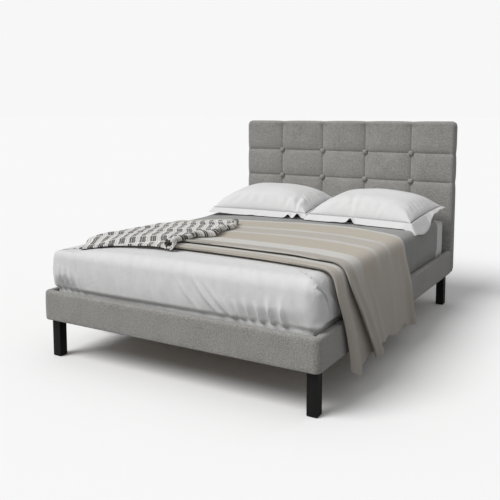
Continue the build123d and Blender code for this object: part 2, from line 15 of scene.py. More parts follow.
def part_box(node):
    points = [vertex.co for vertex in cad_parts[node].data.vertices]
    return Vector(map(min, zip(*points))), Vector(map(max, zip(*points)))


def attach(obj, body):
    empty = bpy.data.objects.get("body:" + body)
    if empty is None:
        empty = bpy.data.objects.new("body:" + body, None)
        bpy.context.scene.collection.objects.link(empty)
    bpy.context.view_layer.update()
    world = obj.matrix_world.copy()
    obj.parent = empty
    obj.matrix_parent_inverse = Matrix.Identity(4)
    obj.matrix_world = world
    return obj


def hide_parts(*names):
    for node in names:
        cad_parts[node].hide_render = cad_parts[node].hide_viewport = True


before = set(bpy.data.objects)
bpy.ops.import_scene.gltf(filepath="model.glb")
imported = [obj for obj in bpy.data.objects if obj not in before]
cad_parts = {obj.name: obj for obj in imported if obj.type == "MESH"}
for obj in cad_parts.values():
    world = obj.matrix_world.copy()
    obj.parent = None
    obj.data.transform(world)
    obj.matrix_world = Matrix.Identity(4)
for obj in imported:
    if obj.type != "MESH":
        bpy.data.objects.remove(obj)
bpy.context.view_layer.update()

LOG = logging.getLogger("bed")
Point = tuple[float, float, float]
Colour = tuple[float, float, float]
Move = Callable[[float, float, float, float], Point]


# ---- small tools ----------------------------------------------------------------------
def deselect() -> None:
    """Leave edit mode and deselect every object."""
    if bpy.context.object and bpy.context.object.mode != "OBJECT":
        bpy.ops.object.mode_set(mode="OBJECT")
    bpy.ops.object.select_all(action="DESELECT")


def take(piece: bpy.types.Object) -> bpy.types.Object:
    """Select one object alone and make it active.

    Args:
        piece: The object to work on.

    Returns:
        The same object.
    """
    deselect()
    piece.select_set(True)
    bpy.context.view_layer.objects.active = piece
    return piece


def settle(piece: bpy.types.Object) -> bpy.types.Object:
    """Put an object's place, turn and scale into its mesh."""
    take(piece)
    bpy.ops.object.transform_apply(location=True, rotation=True, scale=True)
    return piece


def apply_modifier(piece: bpy.types.Object, kind: str, **settings: object) -> None:
    """Add a modifier, set it and apply it.

    Args:
        piece: The mesh that gets it.
        kind: The modifier's type name.
        settings: Values for the modifier's own properties.
    """
    modifier = piece.modifiers.new(kind.lower(), kind)
    for key, value in settings.items():
        setattr(modifier, key, value)
    take(piece)
    bpy.ops.object.modifier_apply(modifier=modifier.name)


def points_of(piece: bpy.types.Object) -> np.ndarray:
    """Every vertex of a mesh as rows of x, y and z."""
    flat = np.zeros(len(piece.data.vertices) * 3)
    piece.data.vertices.foreach_get("co", flat)
    return flat.reshape(-1, 3)


def set_points(piece: bpy.types.Object, points: np.ndarray) -> None:
    """Give a mesh new vertex places."""
    piece.data.vertices.foreach_set("co", np.asarray(points, float).ravel())
    piece.data.update()


def face_outwards(piece: bpy.types.Object) -> None:
    """Turn every face of a closed mesh outwards."""
    take(piece)
    bpy.ops.object.mode_set(mode="EDIT")
    bpy.ops.mesh.select_all(action="SELECT")
    bpy.ops.mesh.normals_make_consistent(inside=False)
    bpy.ops.object.mode_set(mode="OBJECT")


def smooth(piece: bpy.types.Object, angle: float = 50.0) -> None:
    """Shade smooth, with edges sharper than the angle in degrees kept crisp."""
    take(piece)
    bpy.ops.object.shade_smooth_by_angle(angle=math.radians(angle))


def add_grid(name: str, across: int, along: int) -> bpy.types.Object:
    """A unit grid on XY, with its UV map, as the start of a cloth.

    Args:
        name: The new object's name.
        across: How many cells it has along X.
        along: How many cells it has along Y.

    Returns:
        The grid, from 0 to 1 on both axes.
    """
    deselect()
    bpy.ops.mesh.primitive_grid_add(x_subdivisions=across, y_subdivisions=along, size=1,
                                    location=(0.5, 0.5, 0))
    grid = bpy.context.object
    grid.name = name
    return settle(grid)


def scale_uv(piece: bpy.types.Object, width: float, length: float) -> None:
    """Make a grid's UV map read in metres of flat cloth."""
    layer = piece.data.uv_layers.active.data
    flat = np.zeros(len(layer) * 2)
    layer.foreach_get("uv", flat)
    layer.foreach_set("uv", (flat.reshape(-1, 2) * (width, length)).ravel())


def set_uv(piece: bpy.types.Object, places: Sequence[tuple[float, float]]) -> None:
    """Give a mesh a UV map with one place for each vertex."""
    corners = np.zeros(len(piece.data.loops), int)
    piece.data.loops.foreach_get("vertex_index", corners)
    piece.data.uv_layers.active.data.foreach_set("uv", np.array(places)[corners].ravel())


def join(name: str, parts: Sequence[bpy.types.Object]) -> bpy.types.Object:
    """Join several meshes into one piece.

    Args:
        name: The joined piece's name.
        parts: The meshes, the first of which stays.

    Returns:
        The joined piece.
    """
    deselect()
    for part in parts:
        part.select_set(True)
    bpy.context.view_layer.objects.active = parts[0]
    bpy.ops.object.join()
    parts[0].name = name
    return parts[0]


def ease(value: float) -> float:
    """A smooth step from 0 to 1."""
    value = min(max(value, 0.0), 1.0)
    return value * value * (3 - 2 * value)


def bump(value: float, centre: float, width: float) -> float:
    """A rounded hump of height 1."""
    return math.exp(-((value - centre) / width) ** 2)


def streaks(x: float, y: float, turn: float, wide: float, long: float, seed: float) -> float:
    """Noise that is drawn out along one direction, as shallow creases are.

    Args:
        x: First place on the cloth.
        y: Second place on the cloth.
        turn: Direction of the creases, in degrees from the first axis.
        wide: Distance between creases.
        long: Length of a crease.
        seed: Picks one pattern.

    Returns:
        A height between about -1 and 1.
    """
    c, s = math.cos(math.radians(turn)), math.sin(math.radians(turn))
    return noise.noise(Vector(((x * c + y * s) / long, (y * c - x * s) / wide, seed)))


def follow(knots: Sequence[tuple[float, float]]) -> Callable[[float], float]:
    """A smooth curve through a few knots, as a function.

    Args:
        knots: Pairs of place and value, in order of place.

    Returns:
        A function from place to value.
    """
    xs, ys = np.array(knots).T
    fine = np.linspace(xs[0], xs[-1], 240)
    values = np.interp(fine, xs, ys)
    for _ in range(3):
        padded = np.pad(values, 9, mode="edge")
        values = np.convolve(padded, np.ones(19) / 19, mode="valid")
    return lambda place: float(np.interp(place, fine, values))


# ---- shader building ------------------------------------------------------------------
class Graph:
    """Adds and links shader nodes in one node tree."""

    def __init__(self, tree: bpy.types.NodeTree) -> None:
        """Keep the tree that nodes are added to."""
        self.tree = tree

    def add(self, kind: str, inputs: Optional[dict] = None, **settings: object) -> bpy.types.Node:
        """Add a node.

        Args:
            kind: The node's type, without its ShaderNode prefix.
            inputs: Socket names or numbers, with a value or a socket to link for each.
            settings: Values for the node's own properties.

        Returns:
            The new node.
        """
        made = self.tree.nodes.new("ShaderNode" + kind)
        for key, value in settings.items():
            setattr(made, key, value)
        for key, value in (inputs or {}).items():
            if isinstance(value, bpy.types.NodeSocket):
                self.tree.links.new(value, made.inputs[key])
            else:
                made.inputs[key].default_value = value
        return made

    def math(self, operation: str, first: object, second: object = 0.0) -> bpy.types.NodeSocket:
        """One maths step; its arguments are numbers or sockets."""
        return self.add("Math", {0: first, 1: second}, operation=operation).outputs[0]

    def mix(self, factor: object, first: object, second: object) -> bpy.types.NodeSocket:
        """Mix two colours; its arguments are values or sockets."""
        made = self.add("Mix", data_type="RGBA")
        for index, value in ((0, factor), (6, first), (7, second)):
            if isinstance(value, bpy.types.NodeSocket):
                self.tree.links.new(value, made.inputs[index])
            elif index:
                made.inputs[index].default_value = (*value, 1)
            else:
                made.inputs[index].default_value = value
        return made.outputs[2]

    def ramp(self, factor: object, stops: Sequence[tuple[float, Colour]],
             constant: bool = False) -> bpy.types.NodeSocket:
        """A colour ramp over a factor.

        Args:
            factor: The socket that picks a place on the ramp.
            stops: Places with their colours, in order.
            constant: True for hard steps between the colours.

        Returns:
            The ramp's colour socket.
        """
        made = self.add("ValToRGB", {0: factor})
        made.color_ramp.interpolation = "CONSTANT" if constant else "LINEAR"
        elements = made.color_ramp.elements
        while len(elements) < len(stops):
            elements.new(0.5)
        for element, (place, colour) in zip(elements, stops):
            element.position = place
            element.color = (*colour, 1)
        return made.outputs[0]


def new_group(name: str, inputs: dict[str, float], outputs: dict[str, str]) -> tuple[Graph, dict, dict]:
    """Start a shader node group with a Vector input and named numbers.

    Args:
        name: The group's name.
        inputs: Number inputs with their usual values.
        outputs: Output names with their socket types, without the NodeSocket prefix.

    Returns:
        The graph, the input sockets by name and the output sockets by name.
    """
    tree = bpy.data.node_groups.new(name, "ShaderNodeTree")
    tree.interface.new_socket("Vector", in_out="INPUT", socket_type="NodeSocketVector")
    for key, value in inputs.items():
        made = tree.interface.new_socket(key, in_out="INPUT", socket_type="NodeSocketFloat")
        made.default_value = value
    for key, kind in outputs.items():
        tree.interface.new_socket(key, in_out="OUTPUT", socket_type="NodeSocket" + kind)
    start = tree.nodes.new("NodeGroupInput")
    end = tree.nodes.new("NodeGroupOutput")
    sources = {socket.name: socket for socket in start.outputs if socket.name}
    targets = {socket.name: socket for socket in end.inputs if socket.name}
    return Graph(tree), sources, targets


def weave_group() -> bpy.types.NodeTree:
    """Crossing threads: a height for bump and a mask of the gaps between threads, which the cloths darken as
    painted shade.
    """
    graph, given, out = new_group("crossed_threads", {"Threads": 600.0, "Unevenness": 0.3},
                                  {"Height": "Float", "Gaps": "Float"})
    wander = graph.add("TexNoise", {"Vector": given["Vector"], "Scale": 45.0, "Detail": 2.0})
    shift = graph.add("VectorMath", {0: wander.outputs["Color"], 1: (0.5, 0.5, 0.5)}, operation="SUBTRACT")
    drift = graph.add("VectorMath", {0: shift.outputs[0], "Scale": given["Unevenness"]}, operation="SCALE")
    dense = graph.add("VectorMath", {0: given["Vector"], "Scale": given["Threads"]}, operation="SCALE")
    place = graph.add("VectorMath", {0: dense.outputs[0], 1: drift.outputs[0]}, operation="ADD")
    parts = graph.add("SeparateXYZ", {0: place.outputs[0]})
    waves = [graph.math("ABSOLUTE", graph.math("SINE", graph.math("MULTIPLY", parts.outputs[i], math.pi)))
             for i in range(3)]
    crossings = [graph.math("MULTIPLY", waves[i], waves[(i + 1) % 3]) for i in range(3)]
    total = graph.math("ADD", graph.math("ADD", crossings[0], crossings[1]), crossings[2])
    height = graph.math("MULTIPLY", total, 0.5)
    graph.tree.links.new(height, out["Height"])
    gaps = graph.math("SUBTRACT", 1.0, height)
    graph.tree.links.new(gaps, out["Gaps"])
    return graph.tree


def mottle_group() -> bpy.types.NodeTree:
    """Uneven yarn: a fine fleck and a broad cloud, as two factors."""
    graph, given, out = new_group("yarn_mottle", {"Fleck": 160.0, "Cloud": 9.0},
                                  {"Fleck": "Float", "Cloud": "Float"})
    fleck = graph.add("TexNoise", {"Vector": given["Vector"], "Scale": given["Fleck"], "Detail": 3.0,
                                   "Roughness": 0.65})
    cloud = graph.add("TexNoise", {"Vector": given["Vector"], "Scale": given["Cloud"], "Detail": 2.0})
    graph.tree.links.new(graph.add("MapRange", {0: fleck.outputs[0], 1: 0.3, 2: 0.7}).outputs[0], out["Fleck"])
    graph.tree.links.new(graph.add("MapRange", {0: cloud.outputs[0], 1: 0.3, 2: 0.7}).outputs[0], out["Cloud"])
    return graph.tree


def crease_group() -> bpy.types.NodeTree:
    """Fine creases of worn or folded cloth, as a height."""
    graph, given, out = new_group("cloth_creases", {"Scale": 7.0, "Bend": 0.6}, {"Height": "Float"})
    bend = graph.add("TexNoise", {"Vector": given["Vector"], "Scale": 5.0, "Detail": 2.0})
    shifted = graph.add("VectorMath", {0: bend.outputs["Color"], "Scale": given["Bend"]}, operation="SCALE")
    place = graph.add("VectorMath", {0: given["Vector"], 1: shifted.outputs[0]}, operation="ADD")
    ridges = graph.add("TexNoise", {"Vector": place.outputs[0], "Scale": given["Scale"], "Detail": 4.0,
                                    "Roughness": 0.5}, noise_type="FBM")
    away = graph.math("ABSOLUTE", graph.math("SUBTRACT", ridges.outputs[0], 0.5))
    graph.tree.links.new(graph.math("POWER", graph.math("MULTIPLY", away, 2.0), 0.6), out["Height"])
    return graph.tree


def grain_group() -> bpy.types.NodeTree:
    """Long wood grain along X: a tone factor and a height."""
    graph, given, out = new_group("wood_grain", {"Fineness": 60.0}, {"Tone": "Float", "Height": "Float"})
    spread = graph.add("Mapping", {"Vector": given["Vector"], "Scale": (0.06, 1.0, 1.0)})
    rings = graph.add("TexNoise", {"Vector": spread.outputs[0], "Scale": given["Fineness"], "Detail": 6.0,
                                   "Roughness": 0.6, "Distortion": 0.4})
    figure = graph.add("TexNoise", {"Vector": spread.outputs[0], "Scale": 12.0, "Detail": 2.0,
                                    "Distortion": 1.2})
    tone = graph.math("ADD", graph.math("MULTIPLY", rings.outputs[0], 0.6),
                      graph.math("MULTIPLY", figure.outputs[0], 0.4))
    graph.tree.links.new(graph.add("MapRange", {0: tone, 1: 0.35, 2: 0.65}).outputs[0], out["Tone"])
    graph.tree.links.new(rings.outputs[0], out["Height"])
    return graph.tree


GROUPS = {"weave": weave_group(), "mottle": mottle_group(), "crease": crease_group(), "grain": grain_group()}


class Along(Enum):
    """Which way a length of wood runs."""

    X = (0.0, 0.0, 0.0)
    Y = (0.0, 0.0, math.pi / 2)
    Z = (0.0, math.pi / 2, 0.0)


class Finish:
    """One material: a Principled shader and the graph that feeds it."""

    def __init__(self, name: str, roughness: float, sheen: float = 0.0, metallic: float = 0.0) -> None:
        """Make the material with its plain values.

        Args:
            name: The material's name.
            roughness: How matt it is.
            sheen: How much light its nap catches at a glance.
            metallic: 1 for bare metal.
        """
        self.material = bpy.data.materials.new(name)
        self.material.use_nodes = True
        self.graph = Graph(self.material.node_tree)
        self.shader = self.material.node_tree.nodes["Principled BSDF"]
        self.shader.inputs["Roughness"].default_value = roughness
        self.shader.inputs["Sheen Weight"].default_value = sheen
        self.shader.inputs["Sheen Roughness"].default_value = 0.6
        self.shader.inputs["Metallic"].default_value = metallic
        self.shader.inputs["Specular IOR Level"].default_value = 0.5 if metallic else 0.3
        self.place = self.graph.add("TexCoord").outputs["Object"]
        self.uv = self.graph.add("TexCoord").outputs["UV"]
        self.normal: Optional[bpy.types.NodeSocket] = None

    def effect(self, key: str, inputs: Optional[dict] = None, vector: object = None) -> bpy.types.Node:
        """Place a shared effect group, reading Object coordinates unless told otherwise."""
        made = self.graph.add("Group", node_tree=GROUPS[key])
        self.graph.tree.links.new(vector or self.place, made.inputs["Vector"])
        for name, value in (inputs or {}).items():
            made.inputs[name].default_value = value
        return made

    def colour(self, socket: bpy.types.NodeSocket) -> None:
        """Feed the base colour."""
        self.graph.tree.links.new(socket, self.shader.inputs["Base Color"])

    def rough(self, factor: bpy.types.NodeSocket, low: float, high: float) -> None:
        """Feed the roughness from a factor."""
        spread = self.graph.add("MapRange", {0: factor, 3: low, 4: high})
        self.graph.tree.links.new(spread.outputs[0], self.shader.inputs["Roughness"])

    def raise_by(self, height: bpy.types.NodeSocket, depth: float, strength: float = 1.0) -> None:
        """Add a bump of some depth in metres on top of the bumps so far."""
        inputs = {"Height": height, "Distance": depth, "Strength": strength}
        if self.normal:
            inputs["Normal"] = self.normal
        self.normal = self.graph.add("Bump", inputs).outputs[0]
        self.graph.tree.links.new(self.normal, self.shader.inputs["Normal"])


@dataclass(frozen=True)
class Weave:
    """A woven cloth of one mottled colour."""

    name: str
    dark: Colour
    light: Colour
    threads: float = 700.0
    thread_depth: float = 0.0004
    fleck: float = 160.0
    cloud_share: float = 0.25
    fleck_depth: float = 0.0
    crease_depth: float = 0.0
    crease_scale: float = 7.0
    roughness: float = 0.9
    sheen: float = 0.25
    # gap_shade: how far the gaps between threads are darkened, painted shade
    gap_shade: float = 0.25

    def build(self) -> bpy.types.Material:
        """Make the material."""
        finish = Finish(self.name, self.roughness, self.sheen)
        graph = finish.graph
        mottle = finish.effect("mottle", {"Fleck": self.fleck})
        weave = finish.effect("weave", {"Threads": self.threads})
        blend = graph.math("ADD", graph.math("MULTIPLY", mottle.outputs["Fleck"], 1 - self.cloud_share),
                           graph.math("MULTIPLY", mottle.outputs["Cloud"], self.cloud_share))
        base = graph.mix(blend, self.dark, self.light)
        # The gaps between the threads are darkened towards a deeper copy of the dark colour: painted shade.
        shade = tuple(c * 0.45 for c in self.dark)
        finish.colour(graph.mix(graph.math("MULTIPLY", weave.outputs["Gaps"], self.gap_shade), base, shade))
        finish.rough(mottle.outputs["Fleck"], self.roughness - 0.08, min(1.0, self.roughness + 0.06))
        if self.crease_depth:
            crease = finish.effect("crease", {"Scale": self.crease_scale})
            finish.raise_by(crease.outputs["Height"], self.crease_depth)
        if self.fleck_depth:
            finish.raise_by(mottle.outputs["Fleck"], self.fleck_depth)
        finish.raise_by(weave.outputs["Height"], self.thread_depth)
        return finish.material


LIGHT = (0.665, 0.655, 0.615)
TAN = (0.545, 0.500, 0.430)
BEIGE = (0.560, 0.495, 0.395)
PALE_GREY = (0.740, 0.735, 0.690)
TAUPE = (0.480, 0.440, 0.385)
# The darker, flatter tone that the hanging sides of the blanket fade to: painted shade of the sides.
PAINTED_SIDE_SHADE = (0.520, 0.475, 0.420)
UPPER_STRIPES = ((0.0, TAUPE), (0.055, TAUPE), (0.065, LIGHT), (0.075, TAUPE), (0.175, TAUPE),
                 (0.195, PALE_GREY), (0.300, PALE_GREY), (0.315, BEIGE), (0.50, BEIGE), (0.525, LIGHT),
                 (0.55, LIGHT), (0.57, TAN), (0.69, TAN), (0.705, LIGHT), (0.735, LIGHT), (0.75, BEIGE),
                 (0.95, BEIGE), (0.965, LIGHT), (1.0, LIGHT))
LOWER_STRIPES = ((0.0, TAN), (0.125, TAN), (0.145, PALE_GREY), (0.19, PALE_GREY), (0.20, TAN), (1.0, TAN))


@dataclass(frozen=True)
class Stripes:
    """A soft woven blanket with stripes across its length, read from its UV map."""

    name: str
    length: float
    stops: tuple[tuple[float, Colour], ...]
    half_width: float = 1.13
    threads: float = 520.0

    def build(self) -> bpy.types.Material:
        """Make the material."""
        finish = Finish(self.name, 0.92, 0.3)
        graph = finish.graph
        parts = graph.add("SeparateXYZ", {0: finish.uv})
        wander = graph.add("TexNoise", {"Vector": finish.uv, "Scale": 40.0, "Detail": 3.0})
        blur = graph.math("MULTIPLY", graph.math("SUBTRACT", wander.outputs[0], 0.5), 0.010)
        place = graph.math("DIVIDE", graph.math("ADD", parts.outputs[1], blur), self.length)
        striped = graph.ramp(place, self.stops)
        # Past the shoulders the stripes fade into one darker tone: painted shade of the hanging sides.
        off_middle = graph.math("ABSOLUTE", graph.math("SUBTRACT", parts.outputs[0], self.half_width))
        side_shade_share = graph.add("MapRange", {0: off_middle, 1: 0.60, 2: 0.80, 3: 0.0, 4: 0.86}).outputs[0]
        base = graph.mix(side_shade_share, striped, PAINTED_SIDE_SHADE)
        stretched = graph.add("Mapping", {"Vector": finish.uv, "Scale": (6.0, 220.0, 1.0)})
        pick = graph.add("TexNoise", {"Vector": stretched.outputs[0], "Scale": 1.0, "Detail": 2.0})
        heather = finish.effect("mottle", {"Fleck": 420.0, "Cloud": 14.0}, finish.uv)
        weave = finish.effect("weave", {"Threads": self.threads}, finish.uv)
        fine = graph.math("MULTIPLY", graph.math("SUBTRACT", pick.outputs[0], 0.5), 0.5)
        tone = graph.math("ADD", graph.math("MULTIPLY", heather.outputs["Fleck"], 0.22), fine)
        shade = graph.math("MAXIMUM", graph.math("MULTIPLY", tone, 0.55), 0.0)
        shaded = graph.mix(shade, base, (0.20, 0.18, 0.155))
        # The gaps between the threads are darkened: painted shade.
        finish.colour(graph.mix(graph.math("MULTIPLY", weave.outputs["Gaps"], 0.22), shaded, (0.12, 0.11, 0.1)))
        finish.rough(heather.outputs["Fleck"], 0.85, 0.97)
        finish.raise_by(pick.outputs[0], 0.0006)
        finish.raise_by(weave.outputs["Height"], 0.0005)
        return finish.material


@dataclass(frozen=True)
class ChevronKnit:
    """A chunky knit with broken chevrons in black and grey on off-white, read from the UV map."""

    name: str
    repeat: float = 0.050
    row: float = 0.122
    slant: float = 0.014
    turn: float = -30.0
    pale: Colour = (0.86, 0.85, 0.81)
    grey: Colour = (0.40, 0.38, 0.37)
    black: Colour = (0.030, 0.022, 0.024)

    def build(self) -> bpy.types.Material:
        """Make the material."""
        finish = Finish(self.name, 0.95, 0.35)
        graph = finish.graph
        turned = graph.add("Mapping", {"Vector": finish.uv, "Rotation": (0.0, 0.0, math.radians(self.turn))})
        parts = graph.add("SeparateXYZ", {0: turned.outputs[0]})
        across, along = parts.outputs[0], parts.outputs[1]
        rows = graph.math("DIVIDE", graph.math("ADD", along, 2.0), self.row)
        lean = graph.math("MULTIPLY", graph.math("PINGPONG", rows, 1.0), self.slant)
        jitter = graph.add("TexNoise", {"Vector": finish.uv, "Scale": 34.0, "Detail": 2.0}).outputs[0]
        shifted = graph.math("ADD", graph.math("ADD", across, lean), graph.math("MULTIPLY", jitter, 0.010))
        place = graph.math("FRACT", graph.math("DIVIDE", graph.math("ADD", shifted, 2.0), self.repeat))
        bold = graph.ramp(place, ((0.0, self.black), (0.19, self.pale), (0.22, self.black), (0.40, self.grey),
                                  (0.43, self.black), (0.57, self.pale), (0.69, self.grey), (0.75, self.pale),
                                  (0.86, self.grey), (0.90, self.pale)), constant=True)
        faint = graph.ramp(place, ((0.0, self.black), (0.15, self.pale), (0.19, self.black), (0.33, self.grey),
                                   (0.42, self.pale), (0.47, self.grey), (0.55, self.pale), (0.70, self.grey),
                                   (0.76, self.pale)), constant=True)
        is_faint = graph.math("GREATER_THAN", graph.math("MODULO", graph.math("FLOOR", rows), 2.0), 0.5)
        base = graph.mix(is_faint, bold, faint)
        band = graph.math("FRACT", rows)
        gap = graph.math("GREATER_THAN", graph.math("ABSOLUTE", graph.math("SUBTRACT", band, 0.5)), 0.455)
        speckle = graph.add("TexNoise", {"Vector": finish.uv, "Scale": 260.0, "Detail": 2.0})
        missed = graph.math("GREATER_THAN", speckle.outputs[0], 0.72)
        patterned = graph.mix(graph.math("MAXIMUM", gap, missed), base, self.pale)
        loops = graph.add("TexVoronoi", {"Vector": finish.uv, "Scale": 210.0, "Randomness": 0.55})
        mottle = finish.effect("mottle", {"Fleck": 300.0}, finish.uv)
        # The knit is darkened away from the middle of each loop, into the hollows between loops: painted shade.
        hollow = graph.math("MULTIPLY", loops.outputs["Distance"], 0.16)
        shaded = graph.mix(hollow, patterned, (0.05, 0.045, 0.04))
        worn = graph.math("MULTIPLY", mottle.outputs["Fleck"], 0.06)
        finish.colour(graph.mix(worn, shaded, (0.3, 0.28, 0.25)))
        finish.rough(mottle.outputs["Fleck"], 0.88, 1.0)
        finish.raise_by(graph.math("SUBTRACT", 1.0, loops.outputs["Distance"]), 0.0014)
        finish.raise_by(speckle.outputs[0], 0.0009)
        return finish.material


@dataclass(frozen=True)
class Wood:
    """Wood with long grain."""

    name: str
    dark: Colour
    light: Colour
    run: Along = Along.Y
    roughness: float = 0.5
    depth: float = 0.0003
    coat: float = 0.0

    def build(self) -> bpy.types.Material:
        """Make the material."""
        finish = Finish(self.name, self.roughness)
        graph = finish.graph
        turned = graph.add("Mapping", {"Vector": finish.place, "Rotation": self.run.value})
        grain = finish.effect("grain", {}, turned.outputs[0])
        scuffs = graph.add("TexNoise", {"Vector": finish.place, "Scale": 28.0, "Detail": 5.0})
        finish.colour(graph.mix(grain.outputs["Tone"], self.dark, self.light))
        finish.rough(scuffs.outputs[0], self.roughness - 0.12, self.roughness + 0.15)
        finish.shader.inputs["Coat Weight"].default_value = self.coat
        finish.shader.inputs["Coat Roughness"].default_value = 0.25
        finish.raise_by(grain.outputs["Height"], self.depth)
        return finish.material


@dataclass(frozen=True)
class Hard:
    """Plated steel or moulded plastic, with a fine tooth and faint smears."""

    name: str
    dark: Colour
    light: Colour
    roughness: float
    metallic: float = 0.0
    tooth: float = 900.0

    def build(self) -> bpy.types.Material:
        """Make the material."""
        finish = Finish(self.name, self.roughness, 0.0, self.metallic)
        graph = finish.graph
        smear = graph.add("TexNoise", {"Vector": finish.place, "Scale": 35.0, "Detail": 4.0, "Distortion": 0.6})
        grit = graph.add("TexNoise", {"Vector": finish.place, "Scale": self.tooth, "Detail": 1.0})
        finish.colour(graph.mix(smear.outputs[0], self.dark, self.light))
        finish.rough(smear.outputs[0], self.roughness - 0.12, self.roughness + 0.12)
        finish.raise_by(grit.outputs[0], 0.00008)
        return finish.material


@dataclass(frozen=True)
class Palette:
    """Every finish of the bed, made once."""

    upholstery: bpy.types.Material
    white: bpy.types.Material
    coverlet: bpy.types.Material
    blanket_upper: bpy.types.Material
    blanket_lower: bpy.types.Material
    knit: bpy.types.Material
    legs: bpy.types.Material
    timber: bpy.types.Material
    timber_upright: bpy.types.Material
    slats: bpy.types.Material
    plywood: bpy.types.Material
    steel: bpy.types.Material
    plastic: bpy.types.Material
    webbing: bpy.types.Material
    back_cloth: bpy.types.Material
    ticking: bpy.types.Material
    foam: bpy.types.Material


def make_palette() -> Palette:
    """Build every finish."""
    return Palette(
        upholstery=Weave("grey_upholstery", (0.168, 0.164, 0.153), (0.488, 0.478, 0.452), threads=420.0,
                         thread_depth=0.0006, fleck=190.0, fleck_depth=0.0008, cloud_share=0.12,
                         roughness=0.92, sheen=0.3, gap_shade=0.18).build(),
        white=Weave("white_cotton", (0.705, 0.705, 0.705), (0.745, 0.745, 0.745), threads=1400.0,
                    thread_depth=0.00012, fleck=30.0, crease_depth=0.0012, crease_scale=6.0,
                    roughness=0.8, sheen=0.15, gap_shade=0.06).build(),
        coverlet=Weave("grey_coverlet", (0.235, 0.235, 0.230), (0.375, 0.376, 0.368), threads=900.0,
                       thread_depth=0.0003, fleck=260.0, crease_depth=0.0015, roughness=0.88).build(),
        blanket_upper=Stripes("striped_blanket", 0.757, UPPER_STRIPES).build(),
        blanket_lower=Stripes("striped_blanket_lower", 0.925, LOWER_STRIPES).build(),
        knit=ChevronKnit("chevron_knit").build(),
        legs=Wood("black_leg", (0.004, 0.004, 0.004), (0.012, 0.012, 0.012), Along.Z, 0.45, 0.0002, 0.1).build(),
        timber=Wood("frame_timber", (0.42, 0.27, 0.14), (0.62, 0.44, 0.26), Along.Y, 0.6).build(),
        timber_upright=Wood("frame_timber_x", (0.42, 0.27, 0.14), (0.62, 0.44, 0.26), Along.X, 0.6).build(),
        slats=Wood("slat_wood", (0.50, 0.34, 0.18), (0.68, 0.51, 0.31), Along.X, 0.5).build(),
        plywood=Wood("plywood", (0.45, 0.31, 0.17), (0.60, 0.44, 0.27), Along.Z, 0.65).build(),
        steel=Hard("zinc_steel", (0.45, 0.46, 0.48), (0.62, 0.63, 0.65), 0.4, 1.0).build(),
        plastic=Hard("glide_plastic", (0.012, 0.012, 0.012), (0.03, 0.03, 0.03), 0.55).build(),
        webbing=Weave("strap_webbing", (0.02, 0.02, 0.022), (0.05, 0.05, 0.055), threads=800.0).build(),
        back_cloth=Weave("back_cloth", (0.018, 0.018, 0.019), (0.04, 0.04, 0.042), threads=500.0,
                         crease_depth=0.002).build(),
        ticking=Weave("mattress_ticking", (0.70, 0.69, 0.65), (0.80, 0.79, 0.76), threads=800.0).build(),
        foam=Weave("padding_foam", (0.55, 0.50, 0.36), (0.72, 0.67, 0.52), threads=300.0, fleck=400.0).build(),
    )


def dress(piece: bpy.types.Object, material: bpy.types.Material) -> None:
    """Give a piece one material."""
    piece.data.materials.clear()
    piece.data.materials.append(material)


# ---- cloth that turns down over an edge -----------------------------------------------
class Side(Enum):
    """Which edges of a top a cloth turns down over, as an axis and a sign."""

    LEFT = (0, -1)
    RIGHT = (0, 1)
    FOOT = (1, -1)
    HEAD = (1, 1)


LAID_CLEAR = 0.006
DRAPED_CLEAR = 0.010


def sunk_height(x: float, height: float, sunk: float, spare: float) -> float:
    """Let a point of the bedding sink, but not into the mattress under it.

    Args:
        x: The point's distance from the bed's middle line.
        height: Its height before it sinks.
        sunk: How far it wants to sink.
        spare: How far it stays above the fitted sheet.

    Returns:
        The height that it comes to rest at.
    """
    if sunk <= 0.0:
        return height
    top, bend = high("fitted_sheet"), 0.020
    past = abs(x) - top.x + bend
    if past < bend:
        under = top.z - bend + math.sqrt(bend ** 2 - max(past, 0.0) ** 2)
    else:
        under = top.z - bend - 6 * (past - bend) - 20 * max(past - bend - 0.03, 0.0)
    return max(height - sunk, min(height, under + spare))


